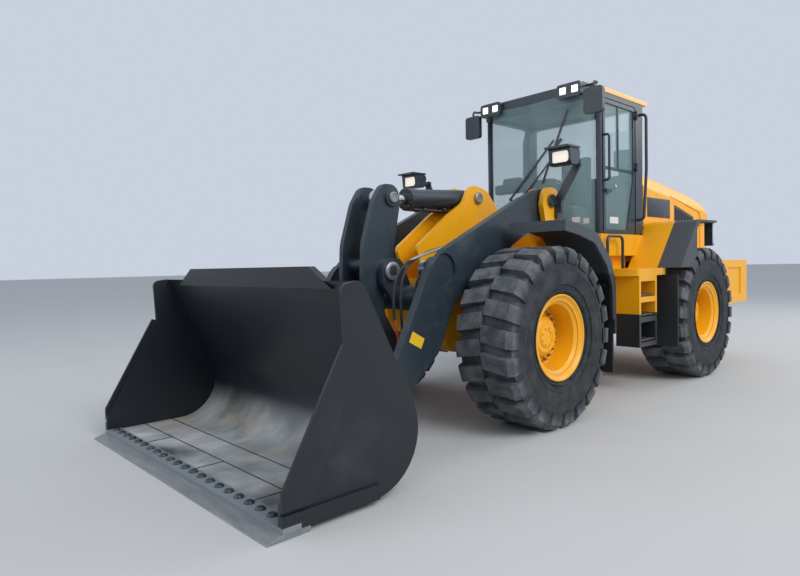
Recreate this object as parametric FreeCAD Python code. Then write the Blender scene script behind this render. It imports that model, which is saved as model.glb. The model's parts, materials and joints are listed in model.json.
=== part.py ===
import FreeCAD, Part
import math
import os

# Articulated wheel loader, straight ahead with its bucket flat on the ground.
# Millimetres; +X points forward, +Y to the operator's left, +Z up.
# The origin is on the ground, under the middle of the machine's bounding box.

V = FreeCAD.Vector

# Driving dimensions of the machine
FRONT_AXLE_X = 1078.0
WHEELBASE = 3300.0
TRACK = 2130.0
TYRE_RADIUS = 800.0
TYRE_WIDTH = 595.0
REAR_OVERHANG = 1870.0
FRONT_REACH = 3014.0
FIT = 0.3
RUNNING_GAP = 5.0

REAR_AXLE_X = FRONT_AXLE_X - WHEELBASE
PIVOT_X = FRONT_AXLE_X - WHEELBASE / 2
AXLE_Z = TYRE_RADIUS
WHEEL_Y = TRACK / 2
TYRE_INNER_Y = WHEEL_Y - TYRE_WIDTH / 2
TYRE_OUTER_Y = WHEEL_Y + TYRE_WIDTH / 2
REAR_END_X = REAR_AXLE_X - REAR_OVERHANG
EDGE_TIP_X = FRONT_AXLE_X + FRONT_REACH

# Loader linkage: pins seen from the side (x, z)
TOWER_PIN = (FRONT_AXLE_X - 710, 2080.0)
BUCKET_PIN = (FRONT_AXLE_X + 1550, 380.0)
CRANK_PIN = (FRONT_AXLE_X + 1010, 1410.0)
CRANK_TOP = (FRONT_AXLE_X + 920, 2070.0)
CRANK_FOOT = (FRONT_AXLE_X + 973, 716.0)
LINK_PIN = (FRONT_AXLE_X + 1747, 623.0)
TILT_BASE = (FRONT_AXLE_X - 310, 2140.0)
LIFT_BASE = (FRONT_AXLE_X - 750, 800.0)
LIFT_EYE = (FRONT_AXLE_X + 800, 1420.0)
PIN_RADIUS = 50.0
PIN_FIT = 0.4

# Loader arms
ARM_PLATE = 80.0
ARM_TYRE_GAP = 67.5
ARM_OUTER_Y = TYRE_INNER_Y - ARM_TYRE_GAP
ARM_INNER_Y = ARM_OUTER_Y - ARM_PLATE
ARM_GAP = 20.0
TOWER_OUTER_Y = ARM_OUTER_Y + ARM_GAP + 55
CROSS_TUBE = (FRONT_AXLE_X + 862, 1170.0)
CROSS_TUBE_RADIUS = 115.0

# Lift, tilt and steering cylinders
LIFT_Y = ARM_INNER_Y - 120
LIFT_BARREL_RADIUS = 72.0
LIFT_ROD_RADIUS = 42.0
LIFT_BARREL_LENGTH = 1330.0
TILT_BARREL_RADIUS = 98.0
TILT_ROD_RADIUS = 48.0
TILT_BARREL_LENGTH = 880.0
EYE_HALF_WIDTH = 42.0
EYE_RADIUS = 88.0
STEER_BASE = (PIVOT_X - 800, 290.0)
STEER_EYE = (PIVOT_X + 260, 470.0)
STEER_Z = 900.0
STEER_BARREL_RADIUS = 45.0
STEER_ROD_RADIUS = 24.0
STEER_BARREL_LENGTH = 710.0
STEER_ROD_START = 350.0
STEER_EYE_RADIUS = 52.0

# Bucket
BUCKET_HALF_WIDTH = 1430.0
BUCKET_PLATE = 25.0
BUCKET_FLOOR_Z = 35.0
BUCKET_HEEL_RADIUS = 383.0
BUCKET_HEEL_X = FRONT_AXLE_X + 1630
BUCKET_TOP = (FRONT_AXLE_X + 2310, 1380.0)
EDGE_DEPTH = 280.0
EDGE_THICKNESS = 35.0

# Frames and cab
FRAME_Y = LIFT_Y - 100
FRAME_PLATE = 40.0
FRAME_TOP_Z = 1350.0
FRAME_LOW_Z = 560.0
TOWER_WALL_X = (FRONT_AXLE_X - 958, FRONT_AXLE_X - 858)
LUG_RADIUS = 150.0
HOOD_TYRE_GAP = 7.5
HOOD_Y = TYRE_INNER_Y - HOOD_TYRE_GAP
CAB_Y = HOOD_Y + 40
CAB_FRONT_X = PIVOT_X - 13
CAB_BACK_X = REAR_AXLE_X + 620
CAB_FLOOR_Z = 1560.0
CAB_SILL = 210.0
CAB_SILL_Z = CAB_FLOOR_Z + CAB_SILL
CAB_HEIGHT = 1795.0
CAB_ROOF_Z = CAB_FLOOR_Z + CAB_HEIGHT
SCREEN_BOW = 165.0
DOOR_HINGE_X = CAB_BACK_X + 172
DOOR_CUT = (182.0, 660.0)
HINGE_RADIUS = 14.0
HINGE_PIN = 7.0
HINGE_AXIS = (DOOR_HINGE_X + 6, CAB_Y + HINGE_RADIUS)
HINGE_HEIGHTS = (CAB_ROOF_Z - 795, CAB_ROOF_Z - 175)
GLASS = 8.0
DECK_Z = 1370.0
DECK_FRONT_X = PIVOT_X - 50
DECK_BACK_X = REAR_AXLE_X + 874
FENDER_Y = TYRE_OUTER_Y + 37.5
DECK_Y = FENDER_Y - 200
GUARD_Y = CAB_Y + 330
FENDER_TOP_Z = 1935.0
FENDER_SHEET = 28.0
BASE_LOW_Z = 1520.0
HOOD_FRONT_X = CAB_BACK_X - 110
HOOD_BACK_X = REAR_AXLE_X - 1558
HOOD_LOW_Z = 1450.0
HOOD_TAIL_Z = 1720.0
HOOD_SHEET = 30.0
HOOD_FALL = 255.0
FRAME_END_X = REAR_AXLE_X - 1278
WEIGHT_Y = 1215.0
WEIGHT_LOW_Z = 840.0
WEIGHT_TOP_Z = 1440.0
ENGINE_Z = 1340.0


def place_in(plane, across):
    """The 3-D point of u, v on a plane that lies at a distance across."""
    return {
        "xz": lambda u, v: V(u, across, v),
        "xy": lambda u, v: V(u, v, across),
        "yz": lambda u, v: V(across, u, v),
    }[plane]


ACROSS = {"xz": V(0, 1, 0), "xy": V(0, 0, 1), "yz": V(1, 0, 0)}


def outline(points, place):
    """A closed wire of straight runs; a point is (u, v) or (u, v, radius of its round corner)."""
    corners = [place(p[0], p[1]) for p in points]
    radii = [p[2] if len(p) > 2 else 0 for p in points]
    count = len(points)
    turns = []
    for i, corner in enumerate(corners):
        if not radii[i]:
            turns.append((corner, None, corner))
            continue
        before = (corners[i - 1] - corner).normalize()
        after = (corners[(i + 1) % count] - corner).normalize()
        half = before.getAngle(after) / 2
        reach = radii[i] / math.tan(half)
        depth = radii[i] / math.sin(half) - radii[i]
        middle = corner + (before + after).normalize() * depth
        turns.append((corner + before * reach, middle, corner + after * reach))
    edges = []
    for i, (start, middle, end) in enumerate(turns):
        if middle is not None:
            edges.append(Part.Arc(start, middle, end).toShape())
        following = turns[(i + 1) % count][0]
        if end.distanceToPoint(following) > 0.01:
            edges.append(Part.makeLine(end, following))
    return Part.Wire(edges)


def slab(plane, points, low, high):
    """A plate with an outline in a plane, from low to high across it."""
    face = Part.Face(outline(points, place_in(plane, low)))
    return face.extrude(ACROSS[plane] * (high - low))


def box(x0, x1, y0, y1, z0, z1):
    return Part.makeBox(x1 - x0, y1 - y0, z1 - z0, V(x0, y0, z0))


def drum(plane, centre, radius, low, high):
    """A round bar that stands across a plane."""
    start = place_in(plane, low)(*centre)
    return Part.makeCylinder(radius, high - low, start, ACROSS[plane])


def bar(start, end, radius):
    """A round bar between two points."""
    run = end - start
    return Part.makeCylinder(radius, run.Length, start, run)


def bent_tube(points, radius, bend):
    """A tube along straight runs joined by tangent arcs."""
    path = [V(*p) for p in points]
    edges, last = [], path[0]
    for before, corner, after in zip(path, path[1:], path[2:]):
        inward = (before - corner).normalize()
        onward = (after - corner).normalize()
        half = inward.getAngle(onward) / 2
        reach = bend / math.tan(half)
        depth = bend / math.sin(half) - bend
        start = corner + inward * reach
        end = corner + onward * reach
        middle = corner + (inward + onward).normalize() * depth
        edges.append(Part.makeLine(last, start))
        edges.append(Part.Arc(start, middle, end).toShape())
        last = end
    edges.append(Part.makeLine(last, path[-1]))
    wire = Part.Wire(edges)
    ring = Part.Wire(Part.makeCircle(radius, path[0], path[1] - path[0]))
    return wire.makePipeShell([ring], True, False)


def spin(section):
    """A solid turned about the Y axis from an outline of (y, radius)."""
    face = Part.Face(outline(section, lambda y, r: V(r, y, 0)))
    return face.revolve(V(0, 0, 0), V(0, 1, 0), 360)


def other_side(shape):
    return shape.mirror(V(0, 0, 0), V(0, 1, 0))


def both(shape):
    return [shape, other_side(shape)]


def fuse(*shapes):
    body = shapes[0].multiFuse(list(shapes[1:]))
    return body.removeSplitter()


def save(name, *shapes):
    """One file per sub-part; like solids that don't touch share it."""
    solids = [s for shape in shapes for s in shape.Solids]
    body = solids[0] if len(solids) == 1 else Part.makeCompound(solids)
    body.exportStep("parts/" + name + ".step")


# Wheels
LUG_COUNT = 22
LUG_WIDTH = 136.0
LUG_SLANT = 46.0
LUG_CENTRE_Y = 8.0
RIM_SEAT = 322.0
RIM_LIP = 381.0


def make_tyre():
    """Loader tyre: plain sidewalls, two rows of deep slanted lugs, half a pitch apart."""
    half = TYRE_WIDTH / 2
    side = [
        (-234, RIM_SEAT + FIT), (-246, RIM_LIP + 4), (-half + 8, 480),
        (-half, 620), (-half + 30, 728), (0, 748),
    ]
    carcass = spin(side + [(-y, r) for y, r in side[-2::-1]])
    lug_face = math.sqrt(TYRE_RADIUS ** 2 - (LUG_WIDTH / 2) ** 2)
    section = [
        (LUG_CENTRE_Y, 735), (LUG_CENTRE_Y, lug_face), (half - 40, lug_face),
        (half, lug_face - 45), (half, 655), (half - 36, 710),
    ]
    across = slab("yz", section, -LUG_WIDTH, LUG_WIDTH)
    w = LUG_WIDTH / 2
    plan = [
        (w - LUG_SLANT, LUG_CENTRE_Y), (w, half + 1), (-w, half + 1),
        (-w - LUG_SLANT, LUG_CENTRE_Y),
    ]
    lug = across.common(slab("xy", plan, 600, TYRE_RADIUS))
    pitch = 360.0 / LUG_COUNT
    tip_turn = math.degrees(math.asin(w / TYRE_RADIUS))
    lugs = []
    for i in range(LUG_COUNT):
        left = lug.copy()
        left.rotate(V(0, 0, 0), V(0, 1, 0), i * pitch + tip_turn)
        right = lug.mirror(V(0, 0, 0), V(0, 1, 0))
        right.rotate(V(0, 0, 0), V(0, 1, 0), (i + 0.5) * pitch + tip_turn)
        lugs += [left, right]
    return carcass.multiFuse(lugs)


def make_rim():
    """Deep-dished rim with both bead flanges and its hub."""
    section = [
        (30, 0), (30, 272), (150, 284), (205, 292), (252, 360), (262, 366),
        (262, RIM_LIP), (248, RIM_LIP), (235, RIM_SEAT), (-235, RIM_SEAT),
        (-248, RIM_LIP), (-262, RIM_LIP), (-262, 360), (-225, 300), (0, 290), (0, 0),
    ]
    hub = [(30, 0), (30, 185), (85, 175), (110, 140), (110, 0)]
    return fuse(spin(section), spin(hub))


# (name, axle x, side)
WHEELS = (
    ("front_left", FRONT_AXLE_X, 1), ("front_right", FRONT_AXLE_X, -1),
    ("rear_left", REAR_AXLE_X, 1), ("rear_right", REAR_AXLE_X, -1),
)


def wheels():
    tyre, rim = make_tyre(), make_rim()
    for name, x, side in WHEELS:
        for kind, shape in (("tyre", tyre), ("rim", rim)):
            piece = shape.copy() if side > 0 else other_side(shape)
            piece.translate(V(x, side * WHEEL_Y, AXLE_Z))
            save(kind + "_" + name, piece)


def axle(x):
    """Axle beam with its round housing in the middle and a drum at each wheel."""
    tube = drum("xz", (x, AXLE_Z), 125, -WHEEL_Y + 200, WHEEL_Y - 200)
    middle = drum("xz", (x, AXLE_Z), 235, -150, 150)
    drums = [drum("xz", (x, AXLE_Z), 215, y0, y0 + 260) for y0 in (WHEEL_Y - 265, 5 - WHEEL_Y)]
    nose = Part.makeCone(200, 110, 330, V(x, 0, AXLE_Z), V(-1 if x > 0 else 1, 0, 0))
    pads = [box(x - 110, x + 110, y - 60, y + 60, AXLE_Z, AXLE_Z + 160) for y in (-350, 350)]
    return fuse(tube, middle, nose, *drums, *pads)


# Front frame
def front_frame():
    pad_top = AXLE_Z + 160
    side = slab("xz", [
        (PIVOT_X + 330, 600, 30), (PIVOT_X + 430, FRAME_LOW_Z, 60), (FRONT_AXLE_X - 250, FRAME_LOW_Z, 60),
        (FRONT_AXLE_X - 160, pad_top, 40), (FRONT_AXLE_X + 160, pad_top, 40),
        (FRONT_AXLE_X + 250, 700, 60), (FRONT_AXLE_X + 560, 760, 80),
        (FRONT_AXLE_X + 560, FRAME_TOP_Z, 80), (PIVOT_X + 330, FRAME_TOP_Z, 30),
    ], FRAME_Y - FRAME_PLATE, FRAME_Y)
    top = box(PIVOT_X + 300, FRONT_AXLE_X + 500, -FRAME_Y + 20, FRAME_Y - 20, FRAME_TOP_Z - 60, FRAME_TOP_Z - 20)
    nose = box(FRONT_AXLE_X + 470, FRONT_AXLE_X + 510, -FRAME_Y + 20, FRAME_Y - 20, 800, FRAME_TOP_Z - 20)
    back = box(PIVOT_X + 300, PIVOT_X + 340, -FRAME_Y + 20, FRAME_Y - 20, 620, FRAME_TOP_Z - 20)
    wall = box(*TOWER_WALL_X, -TOWER_OUTER_Y, TOWER_OUTER_Y, 900, 1750)
    x, z = TOWER_PIN
    tower = [
        (TOWER_WALL_X[0], 1180, 60), (TOWER_WALL_X[1], 1180), (TOWER_WALL_X[1] + 80, 1450, 80),
        (TOWER_WALL_X[1] + 230, 1800, 150),
        (x + 140, z - 40, 120), (x + 90, z + 140, 120), (x - 130, z + 130, 120), (TOWER_WALL_X[0], 1700, 100),
    ]
    outer = slab("xz", tower, ARM_OUTER_Y + ARM_GAP, TOWER_OUTER_Y)
    inner = slab("xz", tower, ARM_INNER_Y - ARM_GAP - 45, ARM_INNER_Y - ARM_GAP)
    lift_ear = slab("xz", [
        (TOWER_WALL_X[1] - 60, 690, 60), (LIFT_BASE[0] + 100, 690, 90),
        (LIFT_BASE[0] + 100, 910, 90), (TOWER_WALL_X[1] - 60, 1150, 60),
    ], LIFT_Y + LIFT_BARREL_RADIUS + 8, LIFT_Y + LIFT_BARREL_RADIUS + 46)
    lift_foot = box(TOWER_WALL_X[1] - 60, TOWER_WALL_X[1], FRAME_Y - 20, LIFT_Y + LIFT_BARREL_RADIUS + 46, 690, 950)
    inner_ear = slab("xz", [
        (TOWER_WALL_X[1] - 60, 690, 60), (LIFT_BASE[0] + 100, 690, 90),
        (LIFT_BASE[0] + 100, 910, 90), (TOWER_WALL_X[1] - 60, 1150, 60),
    ], FRAME_Y - 10, LIFT_Y - LIFT_BARREL_RADIUS - 8)
    gx, gz = TILT_BASE
    ear = slab("xz", [
        (TOWER_WALL_X[1] - 20, 1300), (TOWER_WALL_X[1] - 20, 1800, 100), (gx - 150, gz + 90, 130),
        (gx + 110, gz + 140, 130), (gx + 230, gz - 60, 120), (gx + 450, gz - 186, 150),
        (FRONT_AXLE_X + 600, 1625, 60), (FRONT_AXLE_X + 480, FRAME_TOP_Z - 40, 60),
    ], TILT_BARREL_RADIUS + 17, TILT_BARREL_RADIUS + 57)
    tilt_pin = drum("xz", TILT_BASE, PIN_RADIUS, -TILT_BARREL_RADIUS - 72, TILT_BARREL_RADIUS + 72)
    tower_pin = drum("xz", TOWER_PIN, PIN_RADIUS, ARM_INNER_Y - ARM_GAP - 60, TOWER_OUTER_Y + 15)
    lift_pin = drum("xz", LIFT_BASE, PIN_RADIUS, FRAME_Y - 20, LIFT_Y + LIFT_BARREL_RADIUS + 60)
    lugs = [
        slab("xy", [
            (PIVOT_X + 420, -FRAME_Y + 30), (PIVOT_X + 420, FRAME_Y - 30),
            (PIVOT_X - LUG_RADIUS, LUG_RADIUS, LUG_RADIUS - 10), (PIVOT_X - LUG_RADIUS, -LUG_RADIUS, LUG_RADIUS - 10),
        ], z0, z0 + 50)
        for z0 in (610, 740, 1180, 1310)
    ]
    pivot_pins = [drum("xy", (PIVOT_X, 0), PIN_RADIUS + 10, z0, z0 + 193) for z0 in (604, 1172)]
    steer_ears = [
        slab("xy", [
            (STEER_EYE[0] + 80, FRAME_Y - 30), (STEER_EYE[0] - 50, STEER_EYE[1] - 30, 30),
            (STEER_EYE[0] - 50, STEER_EYE[1] + 50, 45), (STEER_EYE[0] + 50, STEER_EYE[1] + 50, 45),
            (STEER_EYE[0] + 210, FRAME_Y - 20),
        ], z0, z0 + 25)
        for z0 in (STEER_Z - 70, STEER_Z + 45)
    ]
    pieces = [top, nose, back, wall]
    for shape in (side, outer, inner, lift_ear, lift_foot, inner_ear, ear, tower_pin, lift_pin, *steer_ears):
        pieces += both(shape)
    save("front_frame", fuse(*pieces, *lugs, *pivot_pins, tilt_pin))


def front_fenders():
    """Guards over the rear half of the front wheels, folded down at the edges, with a flap."""
    inner_y, outer_y = TYRE_INNER_Y + 30, FENDER_Y - 15
    x = FRONT_AXLE_X
    crown = [
        (x + 12, 1826), (x - 230, 1790, 150), (x - 530, 1722, 160), (x - 780, 1470, 250),
        (x - 872, 1240, 200), (x - 872, 760),
    ]
    under = [
        (x - 844, 760), (x - 844, 1234, 190), (x - 757, 1452, 235), (x - 517, 1696, 145),
        (x - 225, 1762, 145), (x + 12, 1797),
    ]
    rim_line = [
        (x - 872, 900), (x - 812, 900), (x - 795, 1210, 150), (x - 712, 1405, 200),
        (x - 480, 1630, 120), (x - 212, 1697, 120), (x + 12, 1731),
    ]
    shell = slab("xz", crown + under, inner_y, outer_y)
    lip = slab("xz", crown[:-1] + rim_line, outer_y - FENDER_SHEET, outer_y)
    front_lip = box(x + 12 - FENDER_SHEET, x + 12, inner_y, outer_y, 1731, 1810)
    flap = box(x - 872, x - 852, inner_y + 20, outer_y - 30, 380, 760)
    stay_x = TOWER_WALL_X[1] + 20
    stay = bar(V(stay_x, TOWER_OUTER_Y, 1230), V(stay_x, outer_y - 60, 1230), 32)
    save("front_fenders", *both(fuse(shell, lip, front_lip, flap, stay)))


def headlamps():
    """A road lamp on a flat bracket beside each tower."""
    x, z = TOWER_PIN[0] + 152, TOWER_PIN[1] + 385
    y, foot_x, out = TOWER_OUTER_Y + 255, TOWER_PIN[0] - 98, TOWER_OUTER_Y
    base = box(foot_x - 70, foot_x + 40, out, out + 40, z - 565, z - 375)
    bracket = slab("yz", [
        (out + 10, z - 505), (out + 75, z - 505, 30), (out + 75, z - 395, 60), (y + 35, z - 60, 60),
        (y + 35, z + 20, 20), (y - 40, z + 20, 20), (y - 40, z - 40, 60), (out + 10, z - 345, 60),
    ], foot_x, foot_x + 28)
    stem = bar(V(foot_x + 10, y, z - 15), V(x - 80, y, z - 15), 24)
    shell = slab("xz", [
        (x - 95, z + 70, 40), (x + 95, z + 80, 15), (x + 80, z - 85, 40), (x - 60, z - 80, 50),
    ], y - 118, y + 118)
    lens = slab("yz", [
        (y - 95, z - 62, 40), (y + 95, z - 62, 40), (y + 95, z + 55, 40), (y - 95, z + 55, 40),
    ], x + 68, x + 110)
    visor = box(x - 70, x + 150, y - 130, y + 130, z + 74, z + 92)
    save("headlamps", *both(fuse(base, bracket, stem, shell.cut(lens), visor)))


# Loader linkage
def arm_profile():
    bx, bz = BUCKET_PIN
    x, z = TOWER_PIN
    return [
        (x - 120, z + 100, 90), (x + 100, z + 120, 120), (x + 440, z - 10, 400), (FRONT_AXLE_X + 795, 1585, 200),
        (FRONT_AXLE_X + 1000, 1395, 260), (FRONT_AXLE_X + 1112, 1170, 300), (FRONT_AXLE_X + 1350, 730, 300),
        (bx + 117, bz + 100, 100), (bx + 117, bz - 125, 115), (bx - 120, bz - 125, 115),
        (FRONT_AXLE_X + 1160, 490, 250), (FRONT_AXLE_X + 880, 720, 250), (FRONT_AXLE_X + 680, 1130, 250),
        (FRONT_AXLE_X - 180, 1640, 300), (x - 60, z - 150, 120),
    ]


def lift_arms():
    """Two plate arms joined by a cross tube that carries the crank's lugs."""
    plate = slab("xz", arm_profile(), ARM_INNER_Y, ARM_OUTER_Y)
    boss = drum("xz", LIFT_EYE, 110, LIFT_Y + EYE_HALF_WIDTH + RUNNING_GAP + 5, ARM_INNER_Y + 10)
    tube = drum("xz", CROSS_TUBE, CROSS_TUBE_RADIUS, -ARM_INNER_Y - 20, ARM_INNER_Y + 20)
    cx, cz = CRANK_PIN
    tx, tz = CROSS_TUBE
    lug = slab("xz", [
        (cx - 120, cz + 115, 100), (cx + 110, cz + 115, 110), (cx + 110, cz - 115, 110),
        (tx + 80, tz - 80, 60), (tx - 105, tz - 40, 60), (tx - 105, tz + 60, 60),
    ], 205, 255)
    pin = drum("xz", CRANK_PIN, PIN_RADIUS, -280, 280)
    tower_bore = drum("xz", TOWER_PIN, PIN_RADIUS + PIN_FIT, 500, 900)
    tip_bore = drum("xz", BUCKET_PIN, PIN_RADIUS + PIN_FIT, 500, 900)
    dish = drum("xz", LIFT_EYE, 135, ARM_OUTER_Y - 22, ARM_OUTER_Y + 10)
    solid = fuse(tube, pin, *both(plate), *both(boss), *both(lug))
    cuts = both(tower_bore) + both(tip_bore) + both(dish)
    save("lift_arms", solid.cut(Part.makeCompound(cuts)))


def bell_crank():
    """Two curved plates that turn on the cross member's pin, tied by webs."""
    x, z = CRANK_TOP
    cx, cz = CRANK_PIN
    fx, fz = CRANK_FOOT
    plate = slab("xz", [
        (x - 105, z - 60, 90), (x - 85, z + 120, 100), (x + 110, z + 120, 110), (x + 215, z - 40, 200),
        (cx + 245, cz + 240, 400), (cx + 262, cz - 100, 500), (fx + 190, fz + 250, 400),
        (fx + 95, fz - 90, 90), (fx - 95, fz - 90, 90), (fx - 85, fz + 100, 120), (cx + 17, cz - 370, 150),
        (cx + 17, cz - 170, 100), (cx - 120, cz - 60, 110), (cx - 105, cz + 180, 120),
    ], 120, 172)
    hub = drum("xz", CRANK_PIN, 110, -195, 195)
    web = drum("xz", (cx + 140, cz + 60), 60, -125, 125)
    top_boss = drum("xz", CRANK_TOP, 80, 165, 195)
    foot_boss = drum("xz", CRANK_FOOT, 75, 165, 190)
    bore = drum("xz", CRANK_PIN, PIN_RADIUS + PIN_FIT, -300, 300)
    solid = fuse(hub, web, *both(plate), *both(top_boss), *both(foot_boss))
    save("bell_crank", solid.cut(bore))


def bucket_link():
    """Bar between the crank's foot and the bucket's upper pin."""
    fx, fz = CRANK_FOOT
    lx, lz = LINK_PIN
    ends = [drum("xz", CRANK_FOOT, 85, -60, 60), drum("xz", LINK_PIN, 85, -60, 60)]
    shank = slab("xz", [(fx, fz - 55), (lx, lz - 55), (lx, lz + 55), (fx, fz + 55)], -45, 45)
    bore = drum("xz", LINK_PIN, PIN_RADIUS + PIN_FIT, -100, 100)
    save("bucket_link", fuse(shank, *ends).cut(bore))


def bucket_section(inset):
    """The bucket's side outline, moved inward by inset; open at the front."""
    top = V(BUCKET_TOP[0] - BUCKET_HEEL_X, 0, BUCKET_TOP[1] - BUCKET_FLOOR_Z)
    half = top.getAngle(V(1, 0, 0)) / 2
    heel = BUCKET_HEEL_X + inset / math.tan(half)
    floor = BUCKET_FLOOR_Z + inset
    reach = 1.0 + 200.0 / top.Length * (1 if inset else 0)
    return heel, floor, V(heel, 0, floor) + top * reach


def bucket():
    heel, floor, top = bucket_section(0)
    front_x = EDGE_TIP_X - EDGE_DEPTH + 160
    knee = (FRONT_AXLE_X + 2451, 989.0)
    side_front = [(front_x + 20, floor), (front_x + 20, 174), (*knee, 150), (knee[0] + 18, 1356, 50)]
    outer = slab("xz", side_front + [(top.x, top.z, 70), (heel, floor, BUCKET_HEEL_RADIUS)],
                 -BUCKET_HALF_WIDTH, BUCKET_HALF_WIDTH)
    shell = slab("xz", [(front_x, floor), (front_x, 2000), (top.x, top.z), (heel, floor, BUCKET_HEEL_RADIUS)],
                 -BUCKET_HALF_WIDTH, BUCKET_HALF_WIDTH)
    in_heel, in_floor, in_top = bucket_section(BUCKET_PLATE)
    inside = slab("xz", [
        (front_x + 100, in_floor), (front_x + 100, 2100), (in_top.x, in_top.z),
        (in_heel, in_floor, BUCKET_HEEL_RADIUS - BUCKET_PLATE),
    ], -BUCKET_HALF_WIDTH + BUCKET_PLATE, BUCKET_HALF_WIDTH - BUCKET_PLATE)
    shell = outer.cut(inside)
    lean = (top - V(heel, 0, floor)).normalize()
    guard_top = top + lean * 95 - V(20, 0, 0)
    guard = slab("yz", [
        (-1150, top.z - 60), (1150, top.z - 60), (900, guard_top.z, 30), (-900, guard_top.z, 30),
    ], top.x - 30, top.x + 25)
    strip = slab("xz", [
        (front_x + 20, 150), (front_x + 20, 250), (knee[0] + 30, 1010), (knee[0] - 110, 960), (front_x - 170, 150),
    ], BUCKET_HALF_WIDTH, BUCKET_HALF_WIDTH + 20)
    shoe = box(FRONT_AXLE_X + 2222, front_x + 20, BUCKET_HALF_WIDTH, BUCKET_HALF_WIDTH + 20, EDGE_THICKNESS + 1, 130)
    skids = [box(FRONT_AXLE_X + 2072, FRONT_AXLE_X + 2562, y - 110, y + 110, 0, BUCKET_FLOOR_Z) for y in (-1150, -420, 420, 1150)]
    bx, bz = BUCKET_PIN
    ear_shape = [
        (bx - 110, bz + 60, 100), (bx - 60, bz - 115, 110), (bx + 500, 60), (bx + 600, 900, 60), (bx + 380, 900, 120),
    ]
    ear_ys = (
        (ARM_INNER_Y - ARM_GAP - 38, ARM_INNER_Y - ARM_GAP),
        (ARM_OUTER_Y + ARM_GAP, ARM_OUTER_Y + ARM_GAP + 38),
    )
    lx, lz = LINK_PIN
    mid_shape = [(lx - 95, lz + 90, 85), (lx - 60, lz - 110, 80), (lx + 500, 350), (lx + 600, 1000, 60), (lx + 200, 1000, 120)]
    ears = []
    for low, high in ear_ys:
        ears += both(slab("xz", ear_shape, low, high))
    ears += both(slab("xz", mid_shape, 68, 108))
    ears = [ear.cut(outer) for ear in ears]
    pins = both(drum("xz", BUCKET_PIN, PIN_RADIUS, ear_ys[0][0] - 10, ear_ys[1][1] + 12))
    link_pin = drum("xz", LINK_PIN, PIN_RADIUS, -125, 125)
    save("bucket", fuse(shell, guard, *both(strip), *both(shoe), *skids, *ears, *pins, link_pin))


def cutting_edge():
    """Bolt-on edge in three lengths, bevelled to its tip."""
    back_x = EDGE_TIP_X - EDGE_DEPTH
    outline_xz = [
        (back_x, 0), (EDGE_TIP_X, 0), (EDGE_TIP_X - 6, 8), (EDGE_TIP_X - 90, EDGE_THICKNESS), (back_x, EDGE_THICKNESS),
    ]
    half = BUCKET_HALF_WIDTH + 20
    cuts = (-half, -half / 3, half / 3, half)
    lengths = [slab("xz", outline_xz, a + 1, b - 1) for a, b in zip(cuts, cuts[1:])]
    save("cutting_edge", *lengths)


def between(start, end, distance):
    """The point at a distance from start towards end, both (x, z)."""
    run = V(end[0] - start[0], 0, end[1] - start[1]).normalize()
    return V(start[0], 0, start[1]) + run * distance


def cylinder_pair(base, eye, y, barrel_radius, rod_radius, length, stroke_room):
    """A barrel with its base eye and a rod with its far eye, from pin to pin."""
    full = math.hypot(eye[0] - base[0], eye[1] - base[1])
    lift = V(0, y, 0)
    barrel = bar(between(base, eye, EYE_RADIUS - 15) + lift, between(base, eye, length) + lift, barrel_radius)
    collar = bar(between(base, eye, length - 60) + lift, between(base, eye, length + 12) + lift, barrel_radius + 10)
    base_half = barrel_radius - 4
    base_eye = drum("xz", base, EYE_RADIUS, y - base_half, y + base_half)
    base_bore = drum("xz", base, PIN_RADIUS + PIN_FIT, y - 200, y + 200)
    hollow = bar(between(base, eye, stroke_room) + lift, between(base, eye, length + 50) + lift, rod_radius + FIT)
    rod = bar(between(base, eye, stroke_room + 10) + lift, between(base, eye, full - EYE_RADIUS + 15) + lift, rod_radius)
    rod_eye = drum("xz", eye, EYE_RADIUS, y - EYE_HALF_WIDTH, y + EYE_HALF_WIDTH)
    return fuse(barrel, collar, base_eye).cut(base_bore).cut(hollow), fuse(rod, rod_eye)


def cylinders():
    barrel, rod = cylinder_pair(LIFT_BASE, LIFT_EYE, LIFT_Y, LIFT_BARREL_RADIUS, LIFT_ROD_RADIUS,
                                LIFT_BARREL_LENGTH, 150)
    save("lift_barrels", *both(barrel))
    save("lift_rods", *both(rod))
    barrel, rod = cylinder_pair(TILT_BASE, CRANK_TOP, 0, TILT_BARREL_RADIUS, TILT_ROD_RADIUS,
                                TILT_BARREL_LENGTH, 150)
    save("tilt_barrel", barrel)
    save("tilt_rod", rod)
    for name, side in (("left", 1), ("right", -1)):
        base = V(STEER_BASE[0], side * STEER_BASE[1], STEER_Z)
        eye = V(STEER_EYE[0], side * STEER_EYE[1], STEER_Z)
        run = (eye - base).normalize()
        length = (eye - base).Length
        tip = base + run * STEER_BARREL_LENGTH
        barrel = fuse(bar(base + run * 40, tip, STEER_BARREL_RADIUS),
                      drum("xy", (base.x, base.y), STEER_EYE_RADIUS, STEER_Z - 40, STEER_Z + 40))
        hollow = bar(base + run * 60, tip + run * 20, STEER_ROD_RADIUS + FIT)
        bore = drum("xy", (base.x, base.y), 25 + PIN_FIT, STEER_Z - 100, STEER_Z + 100)
        rod = fuse(bar(base + run * STEER_ROD_START, base + run * (length - 40), STEER_ROD_RADIUS),
                   drum("xy", (eye.x, eye.y), STEER_EYE_RADIUS - 6, STEER_Z - 38, STEER_Z + 38))
        save("steer_barrel_" + name, barrel.cut(hollow).cut(bore))
        save("steer_rod_" + name, rod)


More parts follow.
